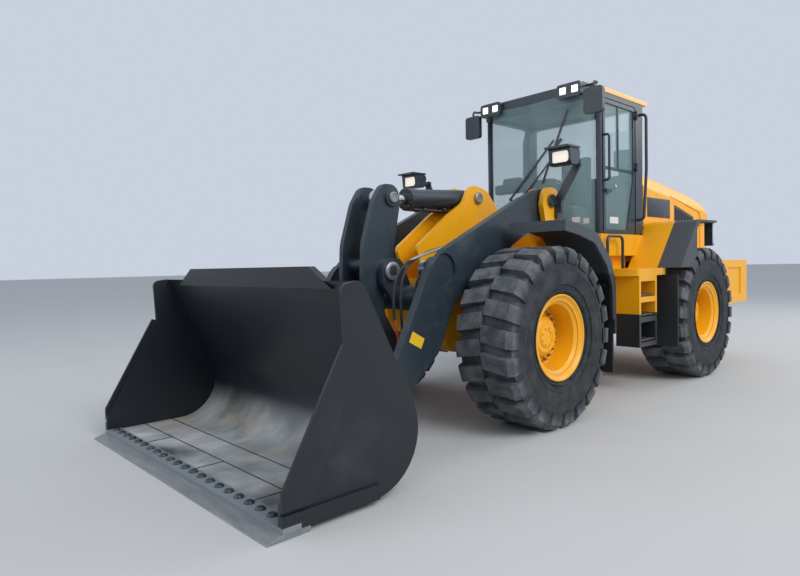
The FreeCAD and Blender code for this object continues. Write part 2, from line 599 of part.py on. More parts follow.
# Rear frame and body
def rear_frame():
    pad_top = AXLE_Z + 160
    side = slab("xz", [
        (PIVOT_X - 230, FRAME_TOP_Z - 60, 30), (PIVOT_X - 230, 1020, 30), (PIVOT_X - 760, 1000, 40),
        (PIVOT_X - 760, 800, 40), (PIVOT_X - 230, 780, 30), (PIVOT_X - 230, 600, 20), (PIVOT_X - 430, FRAME_LOW_Z, 60),
        (REAR_AXLE_X + 260, FRAME_LOW_Z, 60), (REAR_AXLE_X + 170, pad_top, 40), (REAR_AXLE_X - 170, pad_top, 40),
        (REAR_AXLE_X - 260, 700, 60), (FRAME_END_X, 700, 60), (FRAME_END_X, FRAME_TOP_Z - 60, 60),
    ], FRAME_Y - FRAME_PLATE, FRAME_Y)
    ports = both(box(PIVOT_X - 400, PIVOT_X - 200, 180, FRAME_Y + 50, 800, 1000))
    ties = [
        box(PIVOT_X - 340, PIVOT_X - 300, -FRAME_Y + 20, FRAME_Y - 20, 620, FRAME_TOP_Z - 80),
        box(REAR_AXLE_X + 250, REAR_AXLE_X + 290, -FRAME_Y + 20, FRAME_Y - 20, 1040, FRAME_TOP_Z - 80),
        box(FRAME_END_X, FRAME_END_X + 40, -FRAME_Y + 20, FRAME_Y - 20, 720, FRAME_TOP_Z - 80),
    ]
    lugs = [
        slab("xy", [
            (PIVOT_X - 420, FRAME_Y - 30), (PIVOT_X - 420, -FRAME_Y + 30),
            (PIVOT_X + LUG_RADIUS, -LUG_RADIUS, LUG_RADIUS - 10), (PIVOT_X + LUG_RADIUS, LUG_RADIUS, LUG_RADIUS - 10),
        ], z0, z0 + 66)
        for z0 in (667, 1237)
    ]
    bore = drum("xy", (PIVOT_X, 0), PIN_RADIUS + 10 + PIN_FIT, 400, 1500)
    ears = [
        slab("xy", [
            (STEER_BASE[0] - 70, FRAME_Y - 20), (STEER_BASE[0] - 60, STEER_BASE[1] - 60, 40),
            (STEER_BASE[0] + 60, STEER_BASE[1] - 60, 40), (STEER_BASE[0] + 70, FRAME_Y - 20),
        ], z0, z0 + 25)
        for z0 in (STEER_Z - 70, STEER_Z + 45)
    ]
    pin = drum("xy", STEER_BASE, 25, STEER_Z - 75, STEER_Z + 75)
    bearers = [
        box(x, x + 120, -half, half, FRAME_TOP_Z - 90, top)
        for x, half, top in (
            (DECK_FRONT_X - 330, CAB_Y - 130, DECK_Z), (DECK_BACK_X + 60, CAB_Y - 130, DECK_Z),
            (FRAME_END_X + 210, FRAME_Y - 10, ENGINE_Z), (CAB_BACK_X - 450, FRAME_Y - 10, ENGINE_Z),
        )
    ]
    parts = [*ties, *lugs, *bearers]
    for shape in (side, pin, *ears):
        parts += both(shape)
    save("rear_frame", fuse(*parts).cut(Part.makeCompound([bore, *ports])))


def counterweight():
    """Heavy casting across the tail, with a drawbar jaw in its rear face."""
    front = REAR_AXLE_X - 700
    plan = slab("xy", [
        (FRAME_END_X, -700), (FRAME_END_X, 700), (front, 760), (front, WEIGHT_Y),
        (REAR_END_X, WEIGHT_Y, 80), (REAR_END_X, -WEIGHT_Y, 80), (front, -WEIGHT_Y), (front, -760),
    ], WEIGHT_LOW_Z, WEIGHT_TOP_Z)
    side = slab("xz", [
        (REAR_AXLE_X - 870, WEIGHT_LOW_Z), (front - 5, WEIGHT_TOP_Z),
        (REAR_END_X, WEIGHT_TOP_Z, 25), (REAR_END_X, WEIGHT_LOW_Z, 30),
    ], -WEIGHT_Y - 10, WEIGHT_Y + 10)
    pockets = both(box(
        REAR_END_X + 312, REAR_END_X + 812, WEIGHT_Y - 18, WEIGHT_Y + 20, WEIGHT_LOW_Z + 115, WEIGHT_TOP_Z - 105))
    jaw = box(REAR_END_X - 10, REAR_END_X + 140, -90, 90, 980, 1090)
    bore = drum("xy", (REAR_END_X + 70, 0), 26, 800, 1200)
    save("counterweight", plan.common(side).cut(Part.makeCompound([jaw, bore, *pockets])))


def screen_curve(inset, low, high):
    """The cab's front edge as seen from above, bowed forward between the posts."""
    x, y = CAB_FRONT_X, CAB_Y - 75
    front = x + SCREEN_BOW - inset
    return slab("xy", [
        (x - 40, -y), (x - 20 - inset, -y), (front, -y + 190, 230 - inset),
        (front, y - 190, 230 - inset), (x - 20 - inset, y), (x - 40, y),
    ], low, high)


def guard_sheet(foot, back, low, high):
    """A sheet that leans back from the deck and then runs level over the rear tyre."""
    x, t, top = REAR_AXLE_X, FENDER_SHEET, FENDER_TOP_Z
    return slab("xz", [
        (x + 960, foot), (x + 960, DECK_Z + FIT), (x + 470, top - 5, 120), (back, top),
        (back, top - t), (x + 457, top - 5 - t, 100), (x + 923, DECK_Z + FIT), (x + 923, foot),
    ], low, high)


def platforms():
    """Decks beside the cab, the base under it, a step box below each deck, and the inner wheel guards."""
    inner_y = CAB_Y - 120
    deck = slab("xy", [
        (DECK_FRONT_X + 60, inner_y), (DECK_FRONT_X + 60, DECK_Y - 200), (DECK_FRONT_X - 30, DECK_Y, 30),
        (DECK_BACK_X, DECK_Y, 30), (DECK_BACK_X, inner_y),
    ], DECK_Z - 80, DECK_Z)
    base = slab("xz", [
        (CAB_FRONT_X, BASE_LOW_Z, 40), (CAB_FRONT_X, CAB_SILL_Z), (CAB_BACK_X, CAB_SILL_Z),
        (CAB_BACK_X + 20, BASE_LOW_Z, 200),
    ], -CAB_Y, CAB_Y)
    plinth = box(DECK_BACK_X, CAB_FRONT_X - 60, -CAB_Y + 100, CAB_Y - 100, DECK_Z, BASE_LOW_Z + 20)
    room = box(CAB_BACK_X + 150, CAB_FRONT_X - 60, -CAB_Y + 50, CAB_Y - 50, CAB_FLOOR_Z, CAB_FLOOR_Z + 300)
    step_box = box(PIVOT_X - 520, PIVOT_X - 92, DECK_Y - 270, DECK_Y, 510, DECK_Z - 80)
    hollows = [
        box(PIVOT_X - 480, PIVOT_X - 132, DECK_Y - 210, DECK_Y + 10, z0, z1)
        for z0, z1 in ((560, 780), (840, 1000), (1060, 1230))
    ]
    steps = step_box.cut(Part.makeCompound(hollows))
    bracket = box(PIVOT_X - 520, PIVOT_X - 92, FRAME_Y, DECK_Y - 260, 1150, 1210)
    guard = guard_sheet(DECK_Z - 20, REAR_AXLE_X - 600, HOOD_Y + 15, GUARD_Y)
    cowl = screen_curve(0, CAB_SILL_Z - 60, CAB_SILL_Z)
    parts = [fuse(base, cowl).cut(room), plinth]
    for shape in (deck, steps, bracket, guard):
        parts += both(shape)
    save("platforms", fuse(*parts))


def rear_fenders():
    """Moulded guards outside the body's own, with a side skirt, and a flap below the deck."""
    x, foot, top = REAR_AXLE_X, DECK_Z + FIT, FENDER_TOP_Z
    shell = guard_sheet(foot, x - 118, GUARD_Y + FIT, FENDER_Y)
    skirt = slab("xz", [
        (x + 957, foot), (x + 470, top - 9, 110), (x + 400, top - 9), (x + 400, top - 40),
        (x + 490, 1820, 60), (x + 500, 1500, 80), (x + 700, foot),
    ], TYRE_OUTER_Y + 10, FENDER_Y)
    flap = box(DECK_BACK_X + 5, DECK_BACK_X + 31, CAB_Y + 10, FENDER_Y - 60, 460, DECK_Z - 80 - FIT)
    save("rear_fenders", *both(fuse(shell, skirt)), *both(flap))


def engine():
    return box(FRAME_END_X + 200, CAB_BACK_X - 250, -340, 340, ENGINE_Z, ENGINE_Z + 320)


def vent(edge):
    """The grille's opening in the hood's side, grown or shrunk by an edge."""
    back = HOOD_BACK_X
    return [
        (back + 1135 - edge, 1960 + edge, 20), (back + 1135 - edge, 2208 - edge, 30),
        (back + 480 + edge, 2064 - edge, 30), (back + 480 + edge, 1960 + edge, 20),
    ]


def hood():
    """Cover over the engine that falls to the rear, open below, with side grille openings."""
    front, back, s, half = HOOD_FRONT_X, HOOD_BACK_X, HOOD_SHEET, HOOD_Y
    profile = [
        (front, HOOD_LOW_Z), (front, 2550, 60), (back + 1410, 2512, 400), (back + 600, 2395, 600),
        (back + 110, 2270, 160), (back, 2090, 80), (back, HOOD_LOW_Z),
    ]
    inside = [
        (front - s, HOOD_LOW_Z - 50), (front - s, 2550 - s, 40), (back + 1410, 2512 - s, 380),
        (back + 600, 2395 - s, 580), (back + 124, 2270 - s, 140), (back + s, 2080, 60),
        (back + s, HOOD_LOW_Z - 50),
    ]
    cross = [
        (-half, 1300), (-half, 2400, 160), (-half + 110, 2600, 150), (half - 110, 2600, 150),
        (half, 2400, 160), (half, 1300),
    ]
    in_cross = [
        (-half + s, 1300), (-half + s, 2390, 140), (-half + 125, 2570, 130), (half - 125, 2570, 130),
        (half - s, 2390, 140), (half - s, 1300),
    ]
    fall = V(back - front - 20, 0, -HOOD_FALL)
    covers = [
        slab("xz", side, -half, half).common(
            Part.Face(outline(across, place_in("yz", front + 10))).extrude(fall))
        for side, across in ((profile, cross), (inside, in_cross))
    ]
    openings = both(slab("xz", vent(0), half - 60, half + 10))
    tail = box(back - 20, back + 70, -half - 10, half + 10, HOOD_LOW_Z - 10, HOOD_TAIL_Z)
    creases = both(slab("xz", [
        (back + 1288, 1500), (back + 1288, 2318, 20), (back + 260, 2135, 60), (back + 260, 1500),
    ], half - 12, half + 10))
    save("hood", covers[0].cut(covers[1]).cut(Part.makeCompound([tail, *openings])).cut(Part.makeCompound(creases)))
    plate = slab("xz", vent(FIT), half - 38, half - 16)
    slots = [
        box(x, x + 30, half - 60, half, 1980, 2064 + (x - back - 480) * 144 / 655 - 28)
        for x in [back + 515 + 50 * i for i in range(12)]
    ]
    save("hood_grilles", *both(plate.cut(Part.makeCompound(slots))))
    stack = drum("xy", (front - 260, -420), 60, 2300, 2980)
    cap = bar(V(front - 260, -420, 2940), V(front - 420, -420, 3060), 55)
    cleaner = fuse(drum("xy", (front - 260, 380), 70, 2300, 2700), drum("xy", (front - 260, 380), 130, 2700, 2900))
    save("exhaust", fuse(stack, cap).cut(covers[0]), cleaner.cut(covers[0]))


def radiator():
    """Cooling pack and its rear grille above the counterweight."""
    back = HOOD_BACK_X
    core = box(back + 340, back + 450, -600, 600, 1300, 1690)
    grille = box(back + 5, back + 60, -640, 640, 1440, HOOD_TAIL_Z - FIT)
    sides = both(box(back + 5, back + 480, 640, 700, 1440, 1710))
    save("radiator", fuse(grille, *sides, core, box(back + 5, back + 480, -640, 640, 1660, 1700)))


def side_outline(edge):
    """The opening between the posts, moved inward all round; its lower rear corner is cut off."""
    run, rise = DOOR_CUT
    slant = math.hypot(run, rise)
    rear, front = DOOR_HINGE_X + edge, CAB_FRONT_X - 70 - edge
    low, high = CAB_SILL_Z + edge, CAB_ROOF_Z - 60 - edge
    return [
        (front, low), (front, high), (rear, high),
        (rear, CAB_SILL_Z + rise + edge * (slant - rise) / run),
        (DOOR_HINGE_X + run + edge * (slant - run) / rise, low),
    ]


def cab():
    y, zr, sill = CAB_Y, CAB_ROOF_Z, CAB_SILL_Z
    run, rise = DOOR_CUT
    back, hinge = CAB_BACK_X, DOOR_HINGE_X
    front_post = drum("xy", (CAB_FRONT_X - 35, y - 35), 33, sill, zr)
    rear_post = slab("xz", [(back, sill), (hinge, sill), (hinge, zr), (back - 10, zr)], y - 80, y)
    corner = slab("xz", [
        (hinge - 20, sill), (hinge + run, sill), (hinge, sill + rise), (hinge - 20, sill + rise)], y - 32, y - 8)
    rail = box(back - 10, CAB_FRONT_X, y - 70, y, zr - 60, zr)
    header = box(CAB_FRONT_X - 75, CAB_FRONT_X - 35, -y, y, zr - 60, zr)
    tail = box(back - 10, back + 50, -y, y, zr - 60, zr)
    panel = box(back + 5, back + 40, -y + 60, y - 60, sill, sill + 150)
    visor = fuse(screen_curve(-10, zr - 10, zr + 85),
                 *both(box(CAB_FRONT_X - 38, CAB_FRONT_X + SCREEN_BOW + 10, y - 400, y - 100, zr, zr + 85)))
    hinge_x, hinge_y = HINGE_AXIS
    hinges = []
    for z in HINGE_HEIGHTS:
        hinges.append(drum("xy", HINGE_AXIS, HINGE_PIN, z - 30, z + 70))
        for low in (z - 30, z + 41):
            hinges.append(drum("xy", HINGE_AXIS, HINGE_RADIUS, low, low + 29))
            hinges.append(box(hinge_x - 36, hinge_x, y - 2, hinge_y - 6, low, low + 29))
    pieces = [header, tail, panel, visor, *hinges]
    for shape in (front_post, rear_post, rail, corner):
        pieces += both(shape)
    save("cab_frame", fuse(*pieces))
    side = slab("xz", [
        (back - 140, zr + 15, 10), (back - 140, zr + 50, 25), (back + 60, zr + 92, 200),
        (CAB_FRONT_X - 200, zr + 95, 300), (CAB_FRONT_X - 40 - FIT, zr + 84), (CAB_FRONT_X - 40 - FIT, zr),
        (back - 110, zr),
    ], -y - 10, y + 10)
    across = slab("yz", [
        (-y - 5, zr), (-y - 5, zr + 55, 30), (-y + 110, zr + 95, 80), (y - 110, zr + 95, 80),
        (y + 5, zr + 55, 30), (y + 5, zr),
    ], back - 150, CAB_FRONT_X)
    save("cab_roof", side.common(across))
    save("windscreen", screen_curve(0, sill, zr - 10 - FIT).cut(screen_curve(GLASS, sill - 10, zr)))
    right = slab("xz", side_outline(FIT), -y + 30, -y + 30 + GLASS)
    rear = box(back + 20, back + 20 + GLASS, -y + 90, y - 90, sill + 150, zr - 60)
    save("cab_glass", right, rear)


def door():
    """Left door, hinged on the post behind it: a thin frame round one tall pane."""
    x1 = CAB_FRONT_X - 76
    mid = CAB_SILL_Z + 735
    rim = slab("xz", side_outline(6), CAB_Y - 40, CAB_Y - 5)
    frame = rim.cut(slab("xz", side_outline(51), CAB_Y - 60, CAB_Y + 20))
    bars = [
        box(DOOR_HINGE_X + 46, x1 - 40, CAB_Y - 36, CAB_Y - 10, mid, mid + 30),
        box(x1 - 372, x1 - 348, CAB_Y - 36, CAB_Y - 10, mid + 20, CAB_ROOF_Z - 100),
    ]
    handle = box(x1 - 140, x1 - 20, CAB_Y - 10, CAB_Y + 25, CAB_SILL_Z + 470, CAB_SILL_Z + 505)
    grab = bent_tube([
        (x1 - 22, CAB_Y - 6, CAB_SILL_Z + 1110), (x1 - 22, CAB_Y + 55, CAB_SILL_Z + 1110),
        (x1 - 22, CAB_Y + 55, CAB_SILL_Z + 600), (x1 - 22, CAB_Y - 6, CAB_SILL_Z + 600)], 14, 35)
    knuckles = []
    for z in HINGE_HEIGHTS:
        knuckles.append(drum("xy", HINGE_AXIS, HINGE_RADIUS, z, z + 40))
        knuckles.append(box(HINGE_AXIS[0] + 1, HINGE_AXIS[0] + 41, CAB_Y - 15, HINGE_AXIS[1] - 4, z, z + 40))
    pin_bore = drum("xy", HINGE_AXIS, HINGE_PIN + FIT, CAB_SILL_Z, CAB_ROOF_Z)
    save("door_frame", fuse(frame, *bars, handle, grab, *knuckles).cut(pin_bore))
    pane = slab("xz", side_outline(51), CAB_Y - 28, CAB_Y - 28 + GLASS)
    gaps = [
        box(DOOR_HINGE_X, x1, CAB_Y - 60, CAB_Y, mid - FIT, mid + 30 + FIT),
        box(x1 - 372 - FIT, x1 - 348 + FIT, CAB_Y - 60, CAB_Y, mid, CAB_ROOF_Z),
    ]
    save("door_glass", pane.cut(Part.makeCompound(gaps)))


def interior():
    x, z = CAB_BACK_X + 450, CAB_FLOOR_Z
    cushion = slab("xz", [
        (x - 260, z + 460, 40), (x + 240, z + 490, 40), (x + 240, z + 590, 45), (x - 260, z + 570, 40)], -250, 250)
    back = slab("xz", [
        (x - 330, z + 530, 40), (x - 200, z + 560, 40), (x - 260, z + 1290, 45), (x - 370, z + 1280, 40)], -230, 230)
    pedestal = box(x - 180, x + 160, -170, 170, z, z + 480)
    save("seat", fuse(cushion, back, pedestal))
    cx = CAB_FRONT_X - 250
    column = bar(V(cx + 100, 0, z + 50), V(cx - 60, 0, z + 790), 45)
    wheel = Part.makeTorus(200, 16, V(cx - 70, 0, z + 815), V(-0.45, 0, 0.9))
    hub = bar(V(cx - 55, 0, z + 770), V(cx - 75, 0, z + 825), 60)
    spokes = [bar(V(cx - 66, 0, z + 805), V(cx - 66, side * 205, z + 805), 12) for side in (1, -1)]
    dash = slab("xz", [
        (cx + 30, z), (cx + 170, z), (cx + 170, z + 590, 40), (cx + 10, z + 670, 40)], -230, 230)
    side_box = box(x - 200, x + 300, -440, -290, z, z + 670)
    save("console", fuse(column, wheel, hub, dash, *spokes), side_box)


# Work lamps over the windscreen: (y, width)
ROOF_LAMPS = ((550, 300), (-550, 300))


def lamps():
    """Twin work lamps at the roof's front corners, and a lamp housing behind each rear guard."""
    x, z = CAB_FRONT_X + SCREEN_BOW + 10 + FIT, CAB_ROOF_Z
    housings = []
    for y, width in ROOF_LAMPS:
        w = width / 2
        pod = slab("yz", [
            (y - w, z - 65, 30), (y + w, z - 65, 30), (y + w, z + 90, 30), (y - w, z + 90, 30)], x, x + 60)
        spots = [
            slab("yz", [
                (y + dy - 45, z - 30, 15), (y + dy + 45, z - 30, 15),
                (y + dy + 45, z + 60, 15), (y + dy - 45, z + 60, 15)], x + 50, x + 70)
            for dy in (-75, 75)
        ]
        housings.append(pod.cut(Part.makeCompound(spots)))
    tail_x = REAR_AXLE_X - 118 - FIT
    tail = box(tail_x - 50, tail_x, FENDER_Y - 150, FENDER_Y - 55, 1625, FENDER_TOP_Z - 20)
    save("work_lamps", *housings, *both(tail))


def mirrors():
    x, y, zr = CAB_FRONT_X + 205, CAB_Y + 42, CAB_ROOF_Z
    head = slab("yz", [
        (y - 112, zr - 295, 35), (y + 113, zr - 295, 35), (y + 113, zr - 15, 35), (y - 112, zr - 15, 35),
    ], x - 28, x + 28)
    arm = bent_tube([
        (x - 90, CAB_Y - 100 + FIT, zr + 50), (x - 90, y, zr + 50), (x, y, zr + 50), (x, y, zr - 25)], 14, 35)
    save("mirrors", *both(fuse(head, arm)))


def handrails():
    x, y = CAB_BACK_X, CAB_Y + FIT
    rear = bent_tube([
        (x + 72, y, 3220), (x + 72, y + 85, 3220), (x + 72, y + 85, 2550),
        (x + 142, y + 85, 1950), (x + 142, y, 1950)], 17, 50)
    hoop_y, low, high = CAB_Y + 70, DECK_Z + FIT, CAB_SILL_Z - 30
    hoop = bent_tube([
        (DECK_FRONT_X + 22, hoop_y, low), (DECK_FRONT_X + 22, hoop_y, high),
        (DECK_FRONT_X - 328, hoop_y, high), (DECK_FRONT_X - 328, hoop_y, low)], 17, 70)
    save("handrails", *both(rear), *both(hoop))


os.makedirs("parts", exist_ok=True)
wheels()
save("front_axle", axle(FRONT_AXLE_X))
save("rear_axle", axle(REAR_AXLE_X))
front_frame()
front_fenders()
headlamps()
lift_arms()
bell_crank()
bucket_link()
bucket()
cutting_edge()
cylinders()
rear_frame()
counterweight()
platforms()
rear_fenders()
save("engine", engine())
hood()
radiator()
cab()
door()
interior()
lamps()
mirrors()
handrails()
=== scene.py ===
import bpy
import json
import math
from mathutils import Matrix, Vector

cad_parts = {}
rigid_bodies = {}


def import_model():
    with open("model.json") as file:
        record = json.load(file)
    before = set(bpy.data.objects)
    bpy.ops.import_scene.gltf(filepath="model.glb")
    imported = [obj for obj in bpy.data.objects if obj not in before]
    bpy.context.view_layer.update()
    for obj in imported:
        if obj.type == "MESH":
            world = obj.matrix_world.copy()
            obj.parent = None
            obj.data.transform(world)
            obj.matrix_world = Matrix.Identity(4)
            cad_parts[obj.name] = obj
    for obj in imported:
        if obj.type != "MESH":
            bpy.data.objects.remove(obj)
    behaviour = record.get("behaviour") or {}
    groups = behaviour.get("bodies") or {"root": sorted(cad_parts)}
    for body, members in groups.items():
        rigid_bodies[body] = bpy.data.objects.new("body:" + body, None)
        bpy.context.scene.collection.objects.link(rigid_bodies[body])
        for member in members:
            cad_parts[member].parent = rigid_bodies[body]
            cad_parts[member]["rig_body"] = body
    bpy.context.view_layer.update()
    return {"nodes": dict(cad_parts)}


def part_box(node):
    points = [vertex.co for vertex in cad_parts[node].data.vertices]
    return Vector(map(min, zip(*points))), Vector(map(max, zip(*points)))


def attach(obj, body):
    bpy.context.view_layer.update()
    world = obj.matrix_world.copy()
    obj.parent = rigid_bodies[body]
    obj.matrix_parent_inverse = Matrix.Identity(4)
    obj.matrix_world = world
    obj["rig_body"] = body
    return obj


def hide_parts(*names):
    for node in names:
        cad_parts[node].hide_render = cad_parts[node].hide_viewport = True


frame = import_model()
bpy.ops.object.select_all(action="DESELECT")


# The view and the studio. The camera stands low off the loader's front left corner. A pale floor
# runs out under the machine, and large soft lamps light it.
camera_data = bpy.data.cameras.new("camera")
camera_data.lens = 27.135
camera_data.sensor_width = 36.0
camera_data.clip_end = 600.0
camera = bpy.data.objects.new("camera", camera_data)
camera.location = (5.667, 4.206, 1.459)
camera.rotation_euler = [math.radians(a) for a in (87.85, 1.179, 137.016)]
bpy.context.scene.collection.objects.link(camera)
bpy.context.scene.camera = camera
bpy.context.scene.view_settings.view_transform = "Standard"


class Amount:
    """A shader value; arithmetic written on it becomes Math nodes."""

    def __init__(self, tree, socket):
        self.tree, self.socket = tree, socket

    def worked(self, operation, first, second):
        node = self.tree.nodes.new("ShaderNodeMath")
        node.operation = operation
        for slot, value in zip(node.inputs, (first, second)):
            if isinstance(value, Amount):
                self.tree.links.new(value.socket, slot)
            else:
                slot.default_value = value
        return Amount(self.tree, node.outputs[0])

    def __add__(self, other):
        return self.worked("ADD", self, other)

    def __sub__(self, other):
        return self.worked("SUBTRACT", self, other)

    def __rsub__(self, other):
        return self.worked("SUBTRACT", other, self)

    def __mul__(self, other):
        return self.worked("MULTIPLY", self, other)

    __radd__ = __add__
    __rmul__ = __mul__


class Finish:
    """One finish of the machine: a Principled shader fed by procedural patterns."""

    def __init__(self, name, **fixed):
        self.material = bpy.data.materials.new(name)
        self.material.use_nodes = True
        self.tree = self.material.node_tree
        self.shader = self.tree.nodes["Principled BSDF"]
        for socket, value in fixed.items():
            self.shader.inputs[socket.replace("_", " ")].default_value = value
        self.place = self.node("TexCoord", output="Object")

    def node(self, kind, settings=None, inputs=None, output=0):
        node = self.tree.nodes.new("ShaderNode" + kind)
        for key, value in (settings or {}).items():
            setattr(node, key, value)
        for key, value in (inputs or {}).items():
            self.feed(node.inputs[key], value)
        return Amount(self.tree, node.outputs[output])

    def feed(self, slot, value):
        if isinstance(value, Amount):
            self.tree.links.new(value.socket, slot)
        else:
            slot.default_value = value

    def noise(self, scale, detail=3.0, roughness=0.55, stretch=None):
        place = self.place
        if stretch:
            place = self.node("Mapping", {}, {"Vector": place, "Scale": stretch})
        return self.node("TexNoise", {}, {
            "Vector": place, "Scale": scale, "Detail": detail, "Roughness": roughness})

    def between(self, value, low, high):
        """0 where value is at low or under, 1 at high or over, smooth in the middle."""
        return self.node("MapRange", {"interpolation_type": "SMOOTHSTEP"}, {
            "Value": value, "From Min": low, "From Max": high})

    def axis(self, name):
        return self.node("SeparateXYZ", {}, {"Vector": self.place}, output=name)

    def facing_up(self):
        normal = self.node("NewGeometry", output="Normal")
        return self.node("SeparateXYZ", {}, {"Vector": normal}, output="Z")

    def edges(self):
        """Near 1 on sharp outer edges, where paint rubs thin, and about 0 on flats."""
        point = self.node("NewGeometry", output="Pointiness")
        return self.between(point, 0.52, 0.60)

    def mixed(self, factor, first, second):
        colours = [c if isinstance(c, Amount) else (*c, 1.0) for c in (first, second)]
        return self.node("Mix", {"data_type": "RGBA"}, {0: factor, 6: colours[0], 7: colours[1]}, output=2)

    def bumped(self, height, strength, distance):
        return self.node("Bump", {}, {"Height": height, "Strength": strength, "Distance": distance})

    def wear(self, socket, value):
        self.feed(self.shader.inputs[socket], value)


floor_finish = Finish("pale_floor", Roughness=0.9)
floor_finish.wear("Base Color", floor_finish.mixed(
    floor_finish.noise(0.7, 4.0), (0.47, 0.475, 0.47), (0.52, 0.52, 0.515)))
bpy.ops.mesh.primitive_plane_add(size=300.0)
floor = bpy.context.object
floor.name = "floor"
floor.data.materials.append(floor_finish.material)

world = bpy.data.worlds.new("studio")
bpy.context.scene.world = world
world.use_nodes = True
world.node_tree.nodes["Background"].inputs["Color"].default_value = (0.80, 0.88, 1.0, 1.0)
world.node_tree.nodes["Background"].inputs["Strength"].default_value = 0.72


def soft_lamp(name, place, aim, size, power, colour):
    lamp = bpy.data.lights.new(name, "AREA")
    lamp.size = size
    lamp.energy = power
    lamp.color = colour
    holder = bpy.data.objects.new(name, lamp)
    holder.location = place
    holder.rotation_euler = (Vector(aim) - Vector(place)).to_track_quat("-Z", "Y").to_euler()
    bpy.context.scene.collection.objects.link(holder)


soft_lamp("key_lamp", (2, 17, 15), (-1, 0, 1), 12.0, 2900, (1.0, 0.98, 0.95))
soft_lamp("fill_lamp", (13, -4, 7), (1, 0, 1), 9.0, 330, (0.95, 0.97, 1.0))
soft_lamp("rear_lamp", (-12, 5, 9), (-2, 0, 1), 8.0, 450, (1.0, 1.0, 1.0))


# Hydraulic hoses inside the left arm. Three rubber hoses leave fittings on the arm's inner face
# and hang down to fittings lower on it; one has a grey wrap and a red scuff sleeve.
hose_rubber = Finish("hose_rubber", Roughness=0.5)
hose_rubber.wear("Base Color", hose_rubber.mixed(
    hose_rubber.noise(30.0), (0.010, 0.011, 0.012), (0.03, 0.03, 0.032)))
hose_rubber.wear("Normal", hose_rubber.bumped(hose_rubber.noise(400.0, 2.0), 0.1, 0.001))
sleeved = Finish("sleeved_hose", Roughness=0.55)
SLEEVE_TOP = 1.005
WRAP_FOOT = 1.50
sleeve = sleeved.between(sleeved.axis("Z"), SLEEVE_TOP, SLEEVE_TOP - 0.005)
wrap = sleeved.between(sleeved.axis("Z"), WRAP_FOOT, WRAP_FOOT + 0.01)
bound = sleeved.mixed(wrap, (0.014, 0.015, 0.016), (0.30, 0.31, 0.32))
sleeved.wear("Base Color", sleeved.mixed(sleeve, bound, (0.40, 0.045, 0.035)))
sleeved.wear("Normal", sleeved.bumped(sleeved.noise(300.0, 2.0), 0.15, 0.001))


def hose(name, width, finish, route):
    """A hose on one smooth line from a fitting to a fitting."""
    curve = bpy.data.curves.new(name, "CURVE")
    curve.dimensions = "3D"
    line = curve.splines.new("NURBS")
    line.points.add(len(route) - 1)
    for point, place in zip(line.points, route):
        point.co = (*place, 1.0)
    line.order_u = 3
    line.use_endpoint_u = True
    line.resolution_u = 12
    piece = bpy.data.objects.new(name, curve)
    bpy.context.scene.collection.objects.link(piece)
    track = bpy.data.meshes.new_from_object(piece)
    curve.bevel_depth = width / 2
    curve.bevel_resolution = 4
    curve.materials.append(finish.material)
    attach(piece, "arms")


hose_routes = (
    ("arm_hose_a", 0.024, sleeved, (
        (1.66, 0.607, 1.630), (1.72, 0.565, 1.615), (1.84, 0.515, 1.575), (1.98, 0.500, 1.535),
        (2.12, 0.495, 1.490), (2.235, 0.492, 1.395), (2.285, 0.492, 1.240), (2.292, 0.495, 1.080),
        (2.280, 0.505, 0.930), (2.275, 0.545, 0.800), (2.300, 0.580, 0.735), (2.325, 0.607, 0.700))),
    ("arm_hose_b", 0.024, hose_rubber, (
        (1.60, 0.607, 1.630), (1.66, 0.550, 1.622), (1.80, 0.488, 1.590), (1.93, 0.475, 1.545),
        (2.06, 0.470, 1.485), (2.150, 0.470, 1.380), (2.185, 0.470, 1.240), (2.190, 0.475, 1.080),
        (2.195, 0.490, 0.930), (2.215, 0.535, 0.820), (2.240, 0.575, 0.780), (2.255, 0.607, 0.765))),
    ("arm_hose_c", 0.022, hose_rubber, (
        (2.035, 0.607, 1.395), (2.060, 0.575, 1.370), (2.090, 0.560, 1.290), (2.110, 0.560, 1.160),
        (2.135, 0.562, 1.020), (2.160, 0.578, 0.930), (2.185, 0.607, 0.880))),
)
for name, width, finish, route in hose_routes:
    hose(name, width, finish, route)


# Tyres. Steel-belted loader tyres with deep slanted lugs and plain sidewalls, moulded in black
# rubber, darker on the walls and lighter on the lugs, in random dusty patches, with raised moulding rings on
# the outer wall.
WELD_REACH = 0.0002
FLAT_ANGLE = 1.0
SMOOTH_ANGLE = 38


def alone(piece):
    """Selects one object and makes it the active one."""
    bpy.ops.object.select_all(action="DESELECT")
    piece.select_set(True)
    bpy.context.view_layer.objects.active = piece


def dressed(node, name, finish, bevel=0.004, angle=35):
    """A finished copy of a CAD node: merged, its flats joined, its edges rounded off."""
    piece = bpy.data.objects.new(name, frame["nodes"][node].data.copy())
    bpy.context.scene.collection.objects.link(piece)
    alone(piece)
    bpy.ops.object.mode_set(mode="EDIT")
    bpy.ops.mesh.select_all(action="SELECT")
    bpy.ops.mesh.remove_doubles(threshold=WELD_REACH)
    bpy.ops.mesh.dissolve_limited(angle_limit=math.radians(FLAT_ANGLE))
    bpy.ops.object.mode_set(mode="OBJECT")
    rounding = piece.modifiers.new("rounding", "BEVEL")
    rounding.width = bevel
    rounding.segments = 2
    rounding.limit_method = "ANGLE"
    rounding.angle_limit = math.radians(angle)
    bpy.ops.object.modifier_apply(modifier="rounding")
    bpy.ops.object.shade_smooth_by_angle(angle=math.radians(SMOOTH_ANGLE))
    flats = piece.modifiers.new("flats", "WEIGHTED_NORMAL")
    flats.keep_sharp = True
    bpy.ops.object.modifier_apply(modifier="flats")
    piece.data.materials.clear()
    piece.data.materials.append(finish.material)
    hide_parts(node)
    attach(piece, frame["nodes"][node]["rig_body"])
    return piece


